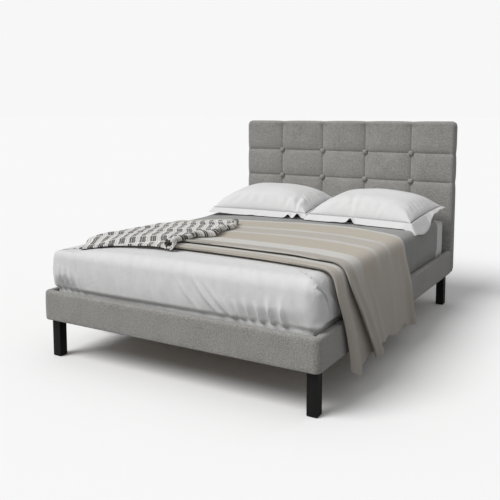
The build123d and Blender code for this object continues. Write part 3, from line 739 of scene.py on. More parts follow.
@dataclass
class Cap:
    """A cloth that covers a flat top and turns down over some of its sides.

    The top is a rectangle in the cap's own x and y, with z out of it. lift moves each point: it gets the
    place along x and y, how far the point is past the edge (negative on the top), and the place along the
    rim, and gives a move outwards along the surface, one along x and one along y.
    """

    x: tuple[float, float]
    y: tuple[float, float]
    top: float
    drop: float
    sides: tuple[Side, ...]
    corner: float = 0.05
    shoulder: float = 0.04
    spacing: float = 0.012
    crown: float = 0.0
    sink: Callable[[float, float], float] = field(default=lambda x, y: 0.0)
    seams: tuple[tuple[float, ...], tuple[float, ...]] = ((), ())
    seam_cell: float = 0.0028
    stand: Callable[[np.ndarray], np.ndarray] = field(default=lambda points: points)

    def build(self, name: str, lift: Move, thickness: float) -> bpy.types.Object:
        """Model the cloth.

        Args:
            name: The piece's name.
            lift: How far each point is moved.
            thickness: The cloth's thickness, added inwards.

        Returns:
            The finished piece.
        """
        width, length = self.x[1] - self.x[0], self.y[1] - self.y[0]
        piece = add_grid(name, round(width / self.spacing), round(length / self.spacing))
        points = points_of(piece)
        points = points * (width, length, 0) + (self.x[0], self.y[0], 0)
        for axis, seams in enumerate(self.seams):
            self.gather_at(points[:, axis], seams)
        set_points(piece, points)
        self.extrude_sides(piece)
        set_points(piece, self.stand(self.shape(points_of(piece), lift)))
        apply_modifier(piece, "SOLIDIFY", thickness=thickness, offset=-1.0)
        smooth(piece)
        return piece

    def gather_at(self, values: np.ndarray, seams: Sequence[float]) -> None:
        """Move the nearest grid lines onto each seam and close beside it, so that it is crisp."""
        lines, which = np.unique(values.round(6), return_inverse=True)
        for seam in seams:
            middle = int(np.argmin(abs(lines - seam)))
            for offset in (-1, 0, 1):
                lines[middle + offset] = seam + offset * self.seam_cell
        values[:] = lines[which]

    def extrude_sides(self, piece: bpy.types.Object) -> None:
        """Extrude the chosen edges of the grid downwards, one row at a time."""
        take(piece)
        bpy.ops.object.mode_set(mode="EDIT")
        bpy.ops.mesh.select_mode(type="EDGE")
        bpy.ops.mesh.select_all(action="DESELECT")
        mesh = bmesh.from_edit_mesh(piece.data)
        limits = (self.x, self.y)
        for edge in mesh.edges:
            for axis, sign in (side.value for side in self.sides):
                limit = limits[axis][(sign + 1) // 2]
                if edge.is_boundary and all(abs(v.co[axis] - limit) < 1e-5 for v in edge.verts):
                    edge.select_set(True)
        bmesh.update_edit_mesh(piece.data)
        rows = max(1, round(self.drop / self.spacing))
        for _ in range(rows):
            bpy.ops.mesh.extrude_edges_move(TRANSFORM_OT_translate={"value": (0, 0, -self.drop / rows)})
        bpy.ops.object.mode_set(mode="OBJECT")

    def shape(self, points: np.ndarray, lift: Move) -> np.ndarray:
        """Round the rim and the corners and move every point."""
        half_turn = math.pi * self.shoulder / 4
        shaped = np.empty_like(points)
        axes = [side.value for side in self.sides]
        for index, (x, y, z) in enumerate(points):
            gaps = {(axis, sign): sign * ((self.x, self.y)[axis][(sign + 1) // 2] - (x, y)[axis])
                    for axis, sign in axes}
            across = [g for (axis, _), g in gaps.items() if axis == 0]
            along = [g for (axis, _), g in gaps.items() if axis == 1]
            near_x = min(across) if across else 9.0
            near_y = min(along) if along else 9.0
            side_x = min((g, s) for (axis, s), g in gaps.items() if axis == 0)[1] if across else 0
            side_y = min((g, s) for (axis, s), g in gaps.items() if axis == 1)[1] if along else 0
            a, b = self.corner - near_x, self.corner - near_y
            if a > 0 and b > 0:
                reach = math.hypot(a, b)
                inside = self.corner - max(a, b)
                out_x, out_y = side_x * a / reach, side_y * b / reach
                centre_x = x - side_x * a
                centre_y = y - side_y * b
                x, y = centre_x + out_x * max(a, b), centre_y + out_y * max(a, b)
            elif near_x < near_y:
                inside, out_x, out_y = near_x, side_x, 0.0
            else:
                inside, out_x, out_y = near_y, 0.0, side_y
            past = -inside if z > -1e-6 else -z
            rim = y if abs(out_x) > abs(out_y) else x
            edge_x, edge_y = x + out_x * inside, y + out_y * inside
            if inside > 8:
                edge_x, edge_y, past = x, y, -9.0
            if past > half_turn:
                level, reach, tilt = -self.shoulder - (past - half_turn), 0.0, math.pi / 2
            elif past > -half_turn:
                tilt = (past + half_turn) / self.shoulder
                level, reach = -self.shoulder * (1 - math.cos(tilt)), self.shoulder * (math.sin(tilt) - 1)
            else:
                slack = math.exp((past + half_turn) / (3 * self.shoulder)) if past > -8 else 0.0
                level, tilt = 0.0, 0.0
                reach = past - (self.shoulder - half_turn) * slack if past > -8 else 0.0
            u = (x - self.x[0]) / (self.x[1] - self.x[0]) * 2 - 1
            w = (y - self.y[0]) / (self.y[1] - self.y[0]) * 2 - 1
            dome = self.crown * (1 - u * u) * (1 - 0.6 * w * w)
            out, move_x, move_y = lift(x, y, past, rim)
            sunk = self.sink(x, y) * (1 if past < 0 else math.exp(-past / 0.1))
            place_x = edge_x + out_x * (reach + out * math.sin(tilt)) + move_x
            height = self.top + level + dome + out * math.cos(tilt)
            shaped[index] = (place_x, edge_y + out_y * (reach + out * math.sin(tilt)) + move_y,
                             sunk_height(place_x, height, sunk, LAID_CLEAR))
        return shaped


# ---- cloth that hangs over both sides of the bed --------------------------------------
class BedSection:
    """The line that a cloth takes across the bed, from its middle over each shoulder to a hem."""

    def __init__(self, right: Sequence[tuple[float, float]], left: Sequence[tuple[float, float]],
                 rounding: float) -> None:
        """Round a few corners into two smooth lines.

        Args:
            right: Places across the bed with their heights, from the middle to the right hem.
            left: The same for the left side, with positive places.
            rounding: Length over which each corner is spread.
        """
        self.lines = {1.0: self.rounded(right, rounding), -1.0: self.rounded(left, rounding)}

    @staticmethod
    def rounded(corners: Sequence[tuple[float, float]], rounding: float) -> np.ndarray:
        """Rows of length, place, height and outward direction along one smooth line."""
        step = 0.002
        legs = np.array(corners)
        lengths = np.concatenate([[0], np.cumsum(np.hypot(*np.diff(legs, axis=0).T))])
        fine = np.arange(0, lengths[-1], step)
        window = int(rounding / step) | 1
        kernel = np.hanning(window + 2)[1:-1]
        kernel /= kernel.sum()
        line = []
        for column in legs.T:
            values = np.interp(fine, lengths, column)
            before = 2 * values[0] - values[window // 2:0:-1]
            after = values[-1] + (values[-1] - values[-2]) * np.arange(1, window // 2 + 1)
            line.append(np.convolve(np.concatenate([before, values, after]), kernel, mode="valid"))
        x, z = line
        s = np.concatenate([[0], np.cumsum(np.hypot(np.diff(x), np.diff(z)))])
        slope_x, slope_z = np.gradient(x), np.gradient(z)
        size = np.hypot(slope_x, slope_z)
        return np.array([s, x, z, -slope_z / size, slope_x / size])

    def at(self, along: float) -> tuple[float, float, float, float]:
        """The place and outward direction at a length from the middle, negative for the left."""
        sign = -1.0 if along < 0 else 1.0
        s, *columns = self.lines[sign]
        x, z, out_x, out_z = (float(np.interp(abs(along), s, column)) for column in columns)
        return sign * x, z, sign * out_x, out_z

    def length_to(self, x: float) -> float:
        """The length from the middle to a place on the top."""
        return float(np.interp(x, self.lines[1.0][1], self.lines[1.0][0]))


@dataclass(frozen=True)
class Fold:
    """A fold in a hanging side: its place at the shoulder and at the hem, its width and its depth."""

    top_y: float
    hem_y: float
    width: float
    depth: float

    def height(self, y: float, down: float) -> float:
        """How far the fold stands out at a place, down from 0 at the shoulder to 1 at the hem."""
        centre = self.top_y + (self.hem_y - self.top_y) * down
        return self.depth * down ** 1.1 * bump(y, centre, self.width * (0.55 + 0.45 * down))


@dataclass
class DrapedSheet:
    """A cloth laid over the bed from side to side, with its front edge plain or folded under."""

    section: BedSection
    left: Callable[[float], float]
    right: Callable[[float], float]
    near: Callable[[float], float]
    far: Callable[[float], float]
    cells: tuple[int, int]
    turn: float = 0.0
    under: float = 0.0
    settle_length: float = 0.10
    pattern_on_bed: bool = False

    def place(self, u: float, v: float) -> tuple[float, float, float]:
        """Where a point of the flat cloth goes.

        Args:
            u: Its share of the way from the left hem to the right hem.
            v: Its share of the way from the front edge to the far edge.

        Returns:
            The length across the bed, y, and how far a fold lifts it.
        """
        s = self.left(v) + (self.right(v) - self.left(v)) * u
        near, far = self.near(s), self.far(s)
        bend = math.pi * self.turn
        along = v * (far - near + bend + self.under) - bend - self.under
        if along >= 0:
            return s, near + self.turn + along * (1 - self.turn / (far - near)), \
                2 * self.turn * math.exp(-along / self.settle_length)
        if along > -bend:
            angle = -along / self.turn
            return s, near + self.turn * (1 - math.sin(angle)), self.turn * (1 + math.cos(angle))
        return s, near + self.turn - along - bend, 0.0

    def build(self, name: str, lift: Callable[[float, float, float], tuple[float, float]],
              thickness: float, flat: tuple[float, float]) -> bpy.types.Object:
        """Model the cloth.

        Args:
            name: The piece's name.
            lift: Gives the move outwards and along y, from the length across, y, and the share of the
                way down the hanging side.
            thickness: The cloth's thickness, added towards the bed.
            flat: Its flat width and length, for the UV map.

        Returns:
            The finished piece.
        """
        piece = add_grid(name, *self.cells)
        points = points_of(piece)
        shoulder = self.section.length_to(SHOULDER)
        places = []
        for index, (u, v, _) in enumerate(points):
            s, y, fold = self.place(u, v)
            hem = self.right(v) if s > 0 else -self.left(v)
            down = min(max((abs(s) - shoulder) / max(hem - shoulder, 0.01), 0.0), 1.0)
            out, move = lift(s, y, down)
            x, z, out_x, out_z = self.section.at(s)
            height = z + out_z * (out + fold)
            points[index] = (x + out_x * (out + fold), y + move,
                             sunk_height(x, height, sag(x, y), DRAPED_CLEAR + out_z * (out + fold)))
            places.append((s, y))
        set_points(piece, points)
        if self.pattern_on_bed:
            set_uv(piece, places)
        else:
            scale_uv(piece, *flat)
        apply_modifier(piece, "SOLIDIFY", thickness=thickness, offset=-1.0)
        smooth(piece, 70)
        return piece


# ---- the places that everything is worked out from ------------------------------------
@lru_cache(maxsize=None)
def low(node: str) -> Vector:
    """The lowest corner of a node's box."""
    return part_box(node)[0]


@lru_cache(maxsize=None)
def high(node: str) -> Vector:
    """The highest corner of a node's box."""
    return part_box(node)[1]


BED_TOP = high("duvet").z
LAP_LINE = follow(((0.0, 0.000), (0.03, 0.026), (0.064, 0.062), (0.105, 0.090), (0.137, 0.104), (0.160, 0.100),
                   (0.178, 0.050), (0.20, 0.040), (0.24, 0.040)))
SHOULDER = high("duvet").x - 0.02
RAIL_TOP = high("foot_rail_cover").z


def sag(x: float, y: float) -> float:
    """How far the soft bedding sinks towards its left edge and its left foot corner."""
    edge = 0.030 * ease((-0.34 - x) / 0.36) * ease((0.75 - y) / 0.9)
    edge *= 1 - 0.57 * ease((-0.68 - y) / 0.22)
    corner = 0.013 * ease((-0.42 - x) / 0.24) * ease((-0.50 - y) / 0.45)
    return edge + corner


def bed_section() -> BedSection:
    """The line that the blanket and the throw take over the made bed and past the rails."""
    top, rail = BED_TOP + 0.004, high("foot_rail_cover").x
    hanging = ((rail + 0.0045, RAIL_TOP + 0.008), (rail + 0.006, 0.02))
    return BedSection(((0.0, top), (SHOULDER + 0.031, top), *hanging),
                      ((0.0, top), (SHOULDER + 0.002, top), *hanging), 0.185)


@dataclass
class Studio:
    """The floor, the light and the camera."""

    eye: Point = (1.753, -3.2795, 1.161)
    aim: Point = (83.893, 0.0, 30.255)
    lens: float = 49.57
    shift: float = -0.124
    sun_from: Point = (-0.35, -0.542, 0.764)
    sun_power: float = 2.30
    sun_spread: float = 34.0
    sky_power: float = 0.42
    backdrop: float = 0.93

    def build(self) -> None:
        """Set up everything that isn't the bed."""
        self.floor()
        self.sky()
        self.sun()
        self.camera()
        bpy.context.scene.view_settings.view_transform = "Standard"

    def floor(self) -> None:
        """Lay a wide pale floor under the bed, which throws little of its light back up."""
        deselect()
        bpy.ops.mesh.primitive_plane_add(size=400)
        plane = bpy.context.object
        plane.name = "floor"
        finish = Finish("pale_floor", 1.0)
        graph = finish.graph
        cloud = graph.add("TexNoise", {"Vector": finish.place, "Scale": 0.6})
        seen = graph.add("LightPath").outputs["Is Camera Ray"]
        pale = graph.mix(cloud.outputs[0], (0.955, 0.955, 0.955), (0.965, 0.965, 0.965))
        finish.colour(graph.mix(seen, (0.30, 0.30, 0.30), pale))
        finish.shader.inputs["Specular IOR Level"].default_value = 0.0
        plane.data.materials.append(finish.material)

    def sky(self) -> None:
        """Light everything from a pale surround, which looks as bright as the floor."""
        world = bpy.data.worlds.new("surround")
        world.use_nodes = True
        graph = Graph(world.node_tree)
        background = world.node_tree.nodes["Background"]
        seen = graph.add("LightPath").outputs["Is Camera Ray"]
        power = graph.add("MapRange", {0: seen, 3: self.sky_power, 4: self.backdrop})
        world.node_tree.links.new(power.outputs[0], background.inputs["Strength"])
        background.inputs["Color"].default_value = (1, 1, 1, 1)
        bpy.context.scene.world = world

    def sun(self) -> None:
        """Hang one broad, far light to the front left."""
        lamp = bpy.data.lights.new("key_light", "SUN")
        lamp.energy = self.sun_power
        lamp.angle = math.radians(self.sun_spread)
        holder = bpy.data.objects.new("key_light", lamp)
        holder.location = Vector(self.sun_from) * 4
        holder.rotation_euler = Vector(self.sun_from).to_track_quat("Z", "Y").to_euler()
        bpy.context.scene.collection.objects.link(holder)

    def camera(self) -> None:
        """Place the camera."""
        lens = bpy.data.cameras.new("camera")
        lens.lens = self.lens
        lens.sensor_width = 36.0
        lens.shift_y = self.shift
        holder = bpy.data.objects.new("camera", lens)
        holder.location = self.eye
        holder.rotation_euler = tuple(math.radians(angle) for angle in self.aim)
        bpy.context.scene.collection.objects.link(holder)
        bpy.context.scene.camera = holder


@dataclass
class Headboard:
    """The padded headboard with its sewn squares and covered buttons."""

    seams_x: tuple[float, ...] = (-0.453, -0.150, 0.150, 0.453)
    seams_z: tuple[float, ...] = (0.744, 0.920)
    seam_depth: float = 0.0042
    seam_spread: float = 0.0040
    crown: float = 0.0035
    hollow_x: float = 0.0105
    hollow_z: float = 0.0060
    swell_x: float = 0.105
    swell_z: float = 0.072
    spacing: float = 0.0062
    button_radius: float = 0.0165
    button_rise: float = 0.0115

    def build(self, palette: Palette) -> None:
        """Make and dress the cover and the buttons."""
        cover = self.cover()
        dress(cover, palette.upholstery)
        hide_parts("headboard_cover", "headboard_foam")
        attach(cover, "bed_frame")
        LOG.info("headboard cover: %d faces", len(cover.data.polygons))
        buttons = self.buttons()
        dress(buttons, palette.upholstery)
        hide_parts("tuft_buttons")
        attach(buttons, "bed_frame")
        LOG.info("headboard buttons: %d", len(self.seams_x) * len(self.seams_z))

    def lift(self, x: float, z: float, past: float, rim: float) -> Point:
        """How far a point of the cover stands out of its flat front."""
        to_x = min(abs(x - seam) for seam in self.seams_x)
        to_z = min(abs(z - seam) for seam in self.seams_z)
        fade = 1 - 0.97 * ease((past + 0.036) / 0.040)
        stitched = (1 - math.exp(-to_x / self.seam_spread)) * (1 - math.exp(-to_z / self.seam_spread))
        full_x = 1 - (1 - min(to_x / self.swell_x, 1.0)) ** 2.2
        full_z = 1 - (1 - min(to_z / self.swell_z, 1.0)) ** 2.2
        to_button = math.hypot(to_x, to_z)
        around = math.atan2(to_z, to_x)
        pleats = 0.0010 * math.cos(around * 12) * bump(to_button, 0.030, 0.014)
        soft = 0.0012 * noise.noise(Vector((x * 9, z * 9, 1.7)))
        sunk = self.hollow_x * (1 - full_x) + self.hollow_z * (1 - full_z) + self.seam_depth * (1 - stitched)
        out = self.crown * full_x * full_z - sunk * fade + pleats + soft * fade
        return out, 0.0, 0.0

    def cover(self) -> bpy.types.Object:
        """Model the upholstery, standing up, with its squares pulled in at the seams."""
        first, last = low("headboard_cover"), high("headboard_cover")
        cap = Cap((first.x, last.x), (first.z, last.z), -first.y, last.y - first.y - 0.004,
                  (Side.LEFT, Side.RIGHT, Side.HEAD, Side.FOOT), corner=0.030, shoulder=0.014,
                  spacing=self.spacing, seams=(self.seams_x, self.seams_z),
                  stand=lambda p: np.stack([p[:, 0], -p[:, 2], p[:, 1]], axis=1))
        return cap.build("headboard_upholstery", self.lift, 0.003)

    def buttons(self) -> bpy.types.Object:
        """Model one covered button and copy it to every crossing."""
        made = []
        face = low("headboard_cover").y + self.button_rise - 0.0028
        for x in self.seams_x:
            for z in self.seams_z:
                if not made:
                    made.append(self.button())
                    first = points_of(made[0]).copy()
                else:
                    copy = made[0].copy()
                    copy.data = made[0].data.copy()
                    bpy.context.scene.collection.objects.link(copy)
                    made.append(copy)
                set_points(made[-1], first + (x, face, z))
        return join("headboard_buttons", made)

    def button(self) -> bpy.types.Object:
        """Model one button: a low dome with a gathered rim and a sunk shank."""
        deselect()
        bpy.ops.mesh.primitive_uv_sphere_add(segments=40, ring_count=20, radius=1)
        piece = bpy.context.object
        bpy.ops.object.mode_set(mode="EDIT")
        bpy.ops.mesh.select_all(action="DESELECT")
        mesh = bmesh.from_edit_mesh(piece.data)
        for face in mesh.faces:
            face.select_set(face.calc_center_median().z < -0.9)
        bmesh.update_edit_mesh(piece.data)
        bpy.ops.mesh.extrude_region_move(TRANSFORM_OT_translate={"value": (0, 0, -0.8)})
        bpy.ops.object.mode_set(mode="OBJECT")
        points = points_of(piece)
        for index, (x, y, z) in enumerate(points):
            around = math.atan2(y, x)
            reach = math.hypot(x, y)
            gather = 1 + 0.025 * math.cos(around * 16) * ease(reach * 1.3 - 0.3) * (1 if z < 0.3 else 0.4)
            points[index] = (x * self.button_radius * gather, -z * self.button_rise * (1 if z > 0 else 0.7),
                             y * self.button_radius * gather)
        set_points(piece, points)
        face_outwards(piece)
        smooth(piece, 80)
        return piece


@dataclass
class Rails:
    """The upholstery of the two side rails and the foot rail, one wrapped cloth round the bed."""

    thickness: float = 0.030
    plan_radius: float = 0.026
    puff: float = 0.002
    station: float = 0.009

    def build(self, palette: Palette) -> None:
        """Make and dress the wrapped cover."""
        cover = self.cover()
        dress(cover, palette.upholstery)
        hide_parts("side_rail_cover_left", "side_rail_cover_right", "foot_rail_cover")
        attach(cover, "bed_frame")
        LOG.info("rail cover: %d faces", len(cover.data.polygons))

    def profile(self) -> list[tuple[float, float]]:
        """The rail's outline as depth behind the outer face and height, outer face first."""
        base, top, deep = low("foot_rail_cover").z, RAIL_TOP, self.thickness
        corners = ((0.0, base, 0.007, 180), (0.0, top, 0.012, 90),
                   (deep, top, 0.008, 0), (deep, base, 0.004, -90))
        outline = []
        for depth, height, radius, start in corners:
            middle = (depth + (radius if depth == 0 else -radius),
                      height + (radius if height == base else -radius))
            for step in range(6):
                angle = math.radians(start + 90 - step * 18)
                outline.append((middle[0] + radius * math.cos(angle), middle[1] + radius * math.sin(angle)))
        filled = []
        for first, second in zip(outline, outline[1:] + outline[:1]):
            count = max(1, round(math.dist(first, second) / 0.012))
            for step in range(count):
                share = step / count
                filled.append(tuple(a + (b - a) * share for a, b in zip(first, second)))
        return filled + filled[:1]

    def path(self) -> list[tuple[float, float, float, float]]:
        """Stations round the outer face from the left rear to the right rear: x, y and outward direction."""
        half, foot, rear = high("foot_rail_cover").x, low("foot_rail_cover").y, low("headboard_cover").y
        radius = self.plan_radius
        stations = []
        count = round((rear - foot - radius) / self.station)
        for step in range(count):
            stations.append((-half, rear + (foot + radius - rear) * step / count, -1.0, 0.0))
        for turn in range(9):
            angle = math.radians(180 + turn * 90 / 8)
            stations.append((-half + radius + radius * math.cos(angle), foot + radius + radius * math.sin(angle),
                             math.cos(angle), math.sin(angle)))
        count = round((half - radius) / self.station)
        stations += [((-half + radius) * (1 - step / count), foot, 0.0, -1.0) for step in range(1, count + 1)]
        mirrored = [(-x, y, -out_x, out_y) for x, y, out_x, out_y in reversed(stations[:-1])]
        return stations + mirrored

    def cover(self) -> bpy.types.Object:
        """Sweep the outline round the bed and close its ends."""
        profile, path = self.profile(), self.path()
        piece = add_grid("rail_upholstery", len(path) - 1, len(profile) - 1)
        points = points_of(piece)
        half, foot = high("foot_rail_cover").x, low("foot_rail_cover").y
        base, top = low("foot_rail_cover").z, RAIL_TOP
        for index, (u, v, _) in enumerate(points):
            x, y, out_x, out_y = path[round(u * (len(path) - 1))]
            depth, z = profile[round(v * (len(profile) - 1))]
            level = (z - base) / (top - base)
            swell = self.puff * max(0.0, 1 - depth / 0.012) * (1 - (2 * level - 1) ** 4)
            swell += 0.0008 * noise.noise(Vector((x * 11, y * 11, z * 14)))
            reach = depth - swell
            px, py = x - out_x * reach, y - out_y * reach
            px = min(max(px, -half + reach), half - reach)
            points[index] = (px, max(py, foot + reach), z)
        set_points(piece, points)
        take(piece)
        bpy.ops.object.mode_set(mode="EDIT")
        bpy.ops.mesh.select_all(action="SELECT")
        bpy.ops.mesh.remove_doubles(threshold=0.00005)
        bpy.ops.mesh.select_all(action="DESELECT")
        bpy.ops.mesh.select_mode(type="EDGE")
        bpy.ops.mesh.select_non_manifold()
        bpy.ops.mesh.edge_face_add()
        bpy.ops.object.mode_set(mode="OBJECT")
        face_outwards(piece)
        smooth(piece, 60)
        return piece


@dataclass
class Framework:
    """The wood, steel and padding that the CAD model already holds, which only needs its finishes."""

    def build(self, palette: Palette) -> None:
        """Dress every CAD node by what it is made of."""
        wood_y = ("side_rail_board_left", "side_rail_board_right", "slat_cleat_left", "slat_cleat_right",
                  "centre_beam")
        wood_x = ("foot_rail_board", "headboard_crossbars")
        groups = ((wood_y, palette.timber), (wood_x, palette.timber_upright),
                  (("headboard_stiles", "corner_blocks"), palette.plywood), (("headboard_panel",), palette.plywood),
                  (("slats",), palette.slats))
        chosen = {name: material for names, material in groups for name in names}
        rules = (("leg_glides", palette.plastic), ("leveller", palette.plastic), ("leg_bolts", palette.steel),
                 ("leg_tee", palette.steel), ("centre_leg_screws", palette.steel), ("centre_leg", palette.legs),
                 ("leg_", palette.legs), ("screw", palette.steel), ("bolt", palette.steel),
                 ("bracket", palette.steel), ("hanger", palette.steel), ("coil", palette.ticking),
                 ("strap", palette.webbing), ("ties", palette.webbing), ("back_cloth", palette.back_cloth),
                 ("ticking", palette.ticking), ("foam", palette.foam), ("pads", palette.foam),
                 ("cover", palette.upholstery), ("button", palette.upholstery))
        for name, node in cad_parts.items():
            material = chosen.get(name) or next((m for key, m in rules if key in name), palette.white)
            node.data.materials.clear()
            node.data.materials.append(material)
        LOG.info("framework: %d nodes dressed", len(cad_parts))


@dataclass
class Gather:
    """A gather in a hanging cloth: its place at the top, its drift, its width, its depth and its reach."""

    place: float
    drift: float
    width: float
    depth: float
    start: float
    end: float

    def height(self, rim: float, past: float) -> float:
        """How far the gather stands out at a place on the rim and a distance down."""
        share = (past - self.start) / (self.end - self.start)
        if share <= 0 or share > 1.25:
            return 0.0
        grow = ease(share * 1.4) * (1 if share < 0.85 else max(0.0, (1.25 - share) / 0.4))
        return self.depth * grow * bump(rim, self.place + self.drift * share, self.width)


@dataclass
class Bedding:
    """The fitted sheet, the white duvet at the foot and the grey coverlet at the head."""

    foot_gathers: tuple[Gather, ...] = (
        Gather(-0.668, 0.010, 0.010, 0.020, 0.05, 0.20), Gather(-0.636, 0.018, 0.008, 0.018, 0.06, 0.20),
        Gather(-0.604, 0.026, 0.008, 0.018, 0.05, 0.20), Gather(-0.572, 0.030, 0.008, 0.015, 0.07, 0.20),
        Gather(-0.530, 0.034, 0.009, 0.012, 0.09, 0.20), Gather(0.00, 0.16, 0.010, 0.006, 0.00, 0.18),
        Gather(0.07, 0.20, 0.011, 0.010, -0.02, 0.19), Gather(0.14, 0.18, 0.010, 0.008, 0.00, 0.19),
        Gather(0.27, 0.07, 0.011, 0.014, 0.09, 0.205), Gather(0.33, 0.045, 0.010, 0.018, 0.10, 0.205),
        Gather(0.375, 0.040, 0.010, 0.018, 0.08, 0.205), Gather(0.43, 0.030, 0.011, 0.022, 0.09, 0.205),
        Gather(0.485, 0.020, 0.010, 0.020, 0.06, 0.205), Gather(0.545, 0.010, 0.012, 0.020, 0.05, 0.205))
    lap: float = 0.058

    def build(self, palette: Palette) -> None:
        """Make and dress the three cloths."""
        for piece, material, slot, node, flat, held in (
                (self.fitted_sheet(), palette.white, "white_bedding", "fitted_sheet", (1.72, 2.26), "stretched"),
                (self.duvet(), palette.white, "white_bedding", "duvet", (1.80, 1.13), "laid"),
                (self.coverlet(), palette.coverlet, "grey_coverlet", "coverlet", (1.74, 0.80), "laid")):
            dress(piece, material)
            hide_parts(node)
            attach(piece, "mattress")
            LOG.info("%s: %d faces", piece.name, len(piece.data.polygons))

    def fitted_sheet(self) -> bpy.types.Object:
        """Model the fitted sheet, tight over the mattress."""
        first, last = low("fitted_sheet"), high("fitted_sheet")
        cap = Cap((first.x, last.x), (first.y, last.y), last.z, last.z - first.z,
                  (Side.LEFT, Side.RIGHT, Side.FOOT, Side.HEAD), corner=0.046, shoulder=0.020, spacing=0.016)

        def lift(x: float, y: float, past: float, rim: float) -> Point:
            """Shallow drags towards the tucked hem."""
            drag = 0.0012 * streaks(rim, past, 80, 0.035, 0.3, 2.0) * ease((past + 0.02) / 0.06)
            return min(drag, 0.0), 0.0, 0.0

        return cap.build("fitted_sheet_cloth", lift, 0.0009)

    def duvet_lift(self, x: float, y: float, past: float, rim: float) -> Point:
        """How far a point of the duvet stands out, and moves."""
        foot, side = low("duvet").y, high("duvet").x
        calm = ease((-0.80 - y) / 0.06) if past < -0.05 else 1.0
        broad = 0.0035 * noise.noise(Vector((x * 3.5, y * 4.5, 3.1)))
        fine = 0.0014 * streaks(x, y, 62, 0.045, 0.30, 5.0) + 0.0008 * streaks(x, y, 118, 0.03, 0.2, 9.0)
        out = (broad * 0.8 + fine) * calm
        out -= 0.006 * ease((-0.74 - y) / 0.20) * ease((0.25 - x) / 0.9)
        facing = ease((foot + 0.085 - y) / 0.06) * ease((side - 0.016 - abs(x)) / 0.030)
        gathers, slip = 0.0, 0.0
        if past > -0.06:
            down = ease((past + 0.06) / 0.10)
            belly = 0.014 * math.sin(math.pi * min(max((past + 0.04) / 0.25, 0.0), 1.0) ** 1.25)
            rough = 0.0036 * streaks(rim, past, 62, 0.035, 0.20, 12.0) + \
                0.0016 * streaks(rim, past, 74, 0.018, 0.10, 17.0)
            out += (belly + rough * (0.25 + 0.75 * down)) * (0.6 + 0.4 * facing)
            if facing > 0:
                gathers = sum(gather.height(rim, past) for gather in self.foot_gathers)
                bunched = bump(rim, 0.46, 0.20) + bump(rim, -0.61, 0.09)
                gathers = facing * (gathers - 0.016 * bunched * ease((past - 0.11) / 0.07))
            if x > side - 0.034:
                folded, slip = self.corner_fold(y, past)
                gathers += folded
            out += 0.010 * down * ease((-0.6 - y) / 0.3) * ease(-x / 0.5)
        tuck = ease((past - 0.174) / 0.026)
        return out * (1 - tuck) - 0.014 * tuck + gathers * (1 - ease((past - 0.178) / 0.020)), 0.0, slip

    def corner_fold(self, y: float, past: float) -> tuple[float, float]:
        """The folded corner at the right of the foot: a dark lap line and a flap that is turned down beside it.

        Args:
            y: The place along the side.
            past: How far down the side it is.

        Returns:
            How far the cloth stands out, and how far it slips along the side to follow the lap line.
        """
        if not 0.015 < past < 0.23:
            return 0.0, 0.0
        behind = y - low("duvet").y - self.lap
        grow = ease((past - 0.018) / 0.030)
        slip = (LAP_LINE(past) - self.lap) * ease((behind + self.lap) / 0.052) * \
            math.exp(-(max(behind, 0.0) / 0.075) ** 2)
        puffed = 0.015 * grow * ease(-behind / 0.014) * ease((behind + self.lap) / 0.035)
        groove = -0.022 * grow * math.exp(-(behind / 0.0055) ** 2)
        ridge_line = 1.55 * past - 0.008 - self.lap
        ridge = 0.009 * math.exp(-abs(behind - ridge_line) / 0.016) * ease(behind / 0.02)
        flap = 0.005 * grow * ease(behind / 0.008) * ease((ridge_line - behind) / 0.02)
        return puffed + groove + ridge + flap, slip

    def duvet(self) -> bpy.types.Object:
        """Model the duvet, turned down and tucked in at the foot and the sides."""
        first, last = low("duvet"), high("duvet")
        cap = Cap((first.x, last.x), (first.y, last.y), last.z, last.z - first.z - 0.012,
                  (Side.LEFT, Side.RIGHT, Side.FOOT), corner=0.032, shoulder=0.055, spacing=0.0068, sink=sag,
                  seams=((), (first.y + self.lap,)), seam_cell=0.0042)
        return cap.build("duvet_cloth", self.duvet_lift, 0.004)

    def coverlet(self) -> bpy.types.Object:
        """Model the coverlet, smooth on top and tucked in at the sides."""
        first, last = low("coverlet"), high("coverlet")
        cap = Cap((first.x, last.x), (first.y, last.y), last.z, last.z - first.z + 0.02,
                  (Side.LEFT, Side.RIGHT), corner=0.01, shoulder=0.045, spacing=0.011, sink=sag)

        def lift(x: float, y: float, past: float, rim: float) -> Point:
            """Shallow drags down the sides and a barely uneven top."""
            out = 0.0016 * noise.noise(Vector((x * 5, y * 6, 7.7)))
            if past > -0.1:
                out += 0.003 * streaks(rim, past, 75, 0.05, 0.4, 4.4) * ease((past + 0.1) / 0.15)
            return out - 0.006 * ease((past - 0.15) / 0.04), 0.0, 0.0

        return cap.build("coverlet_cloth", lift, 0.003)


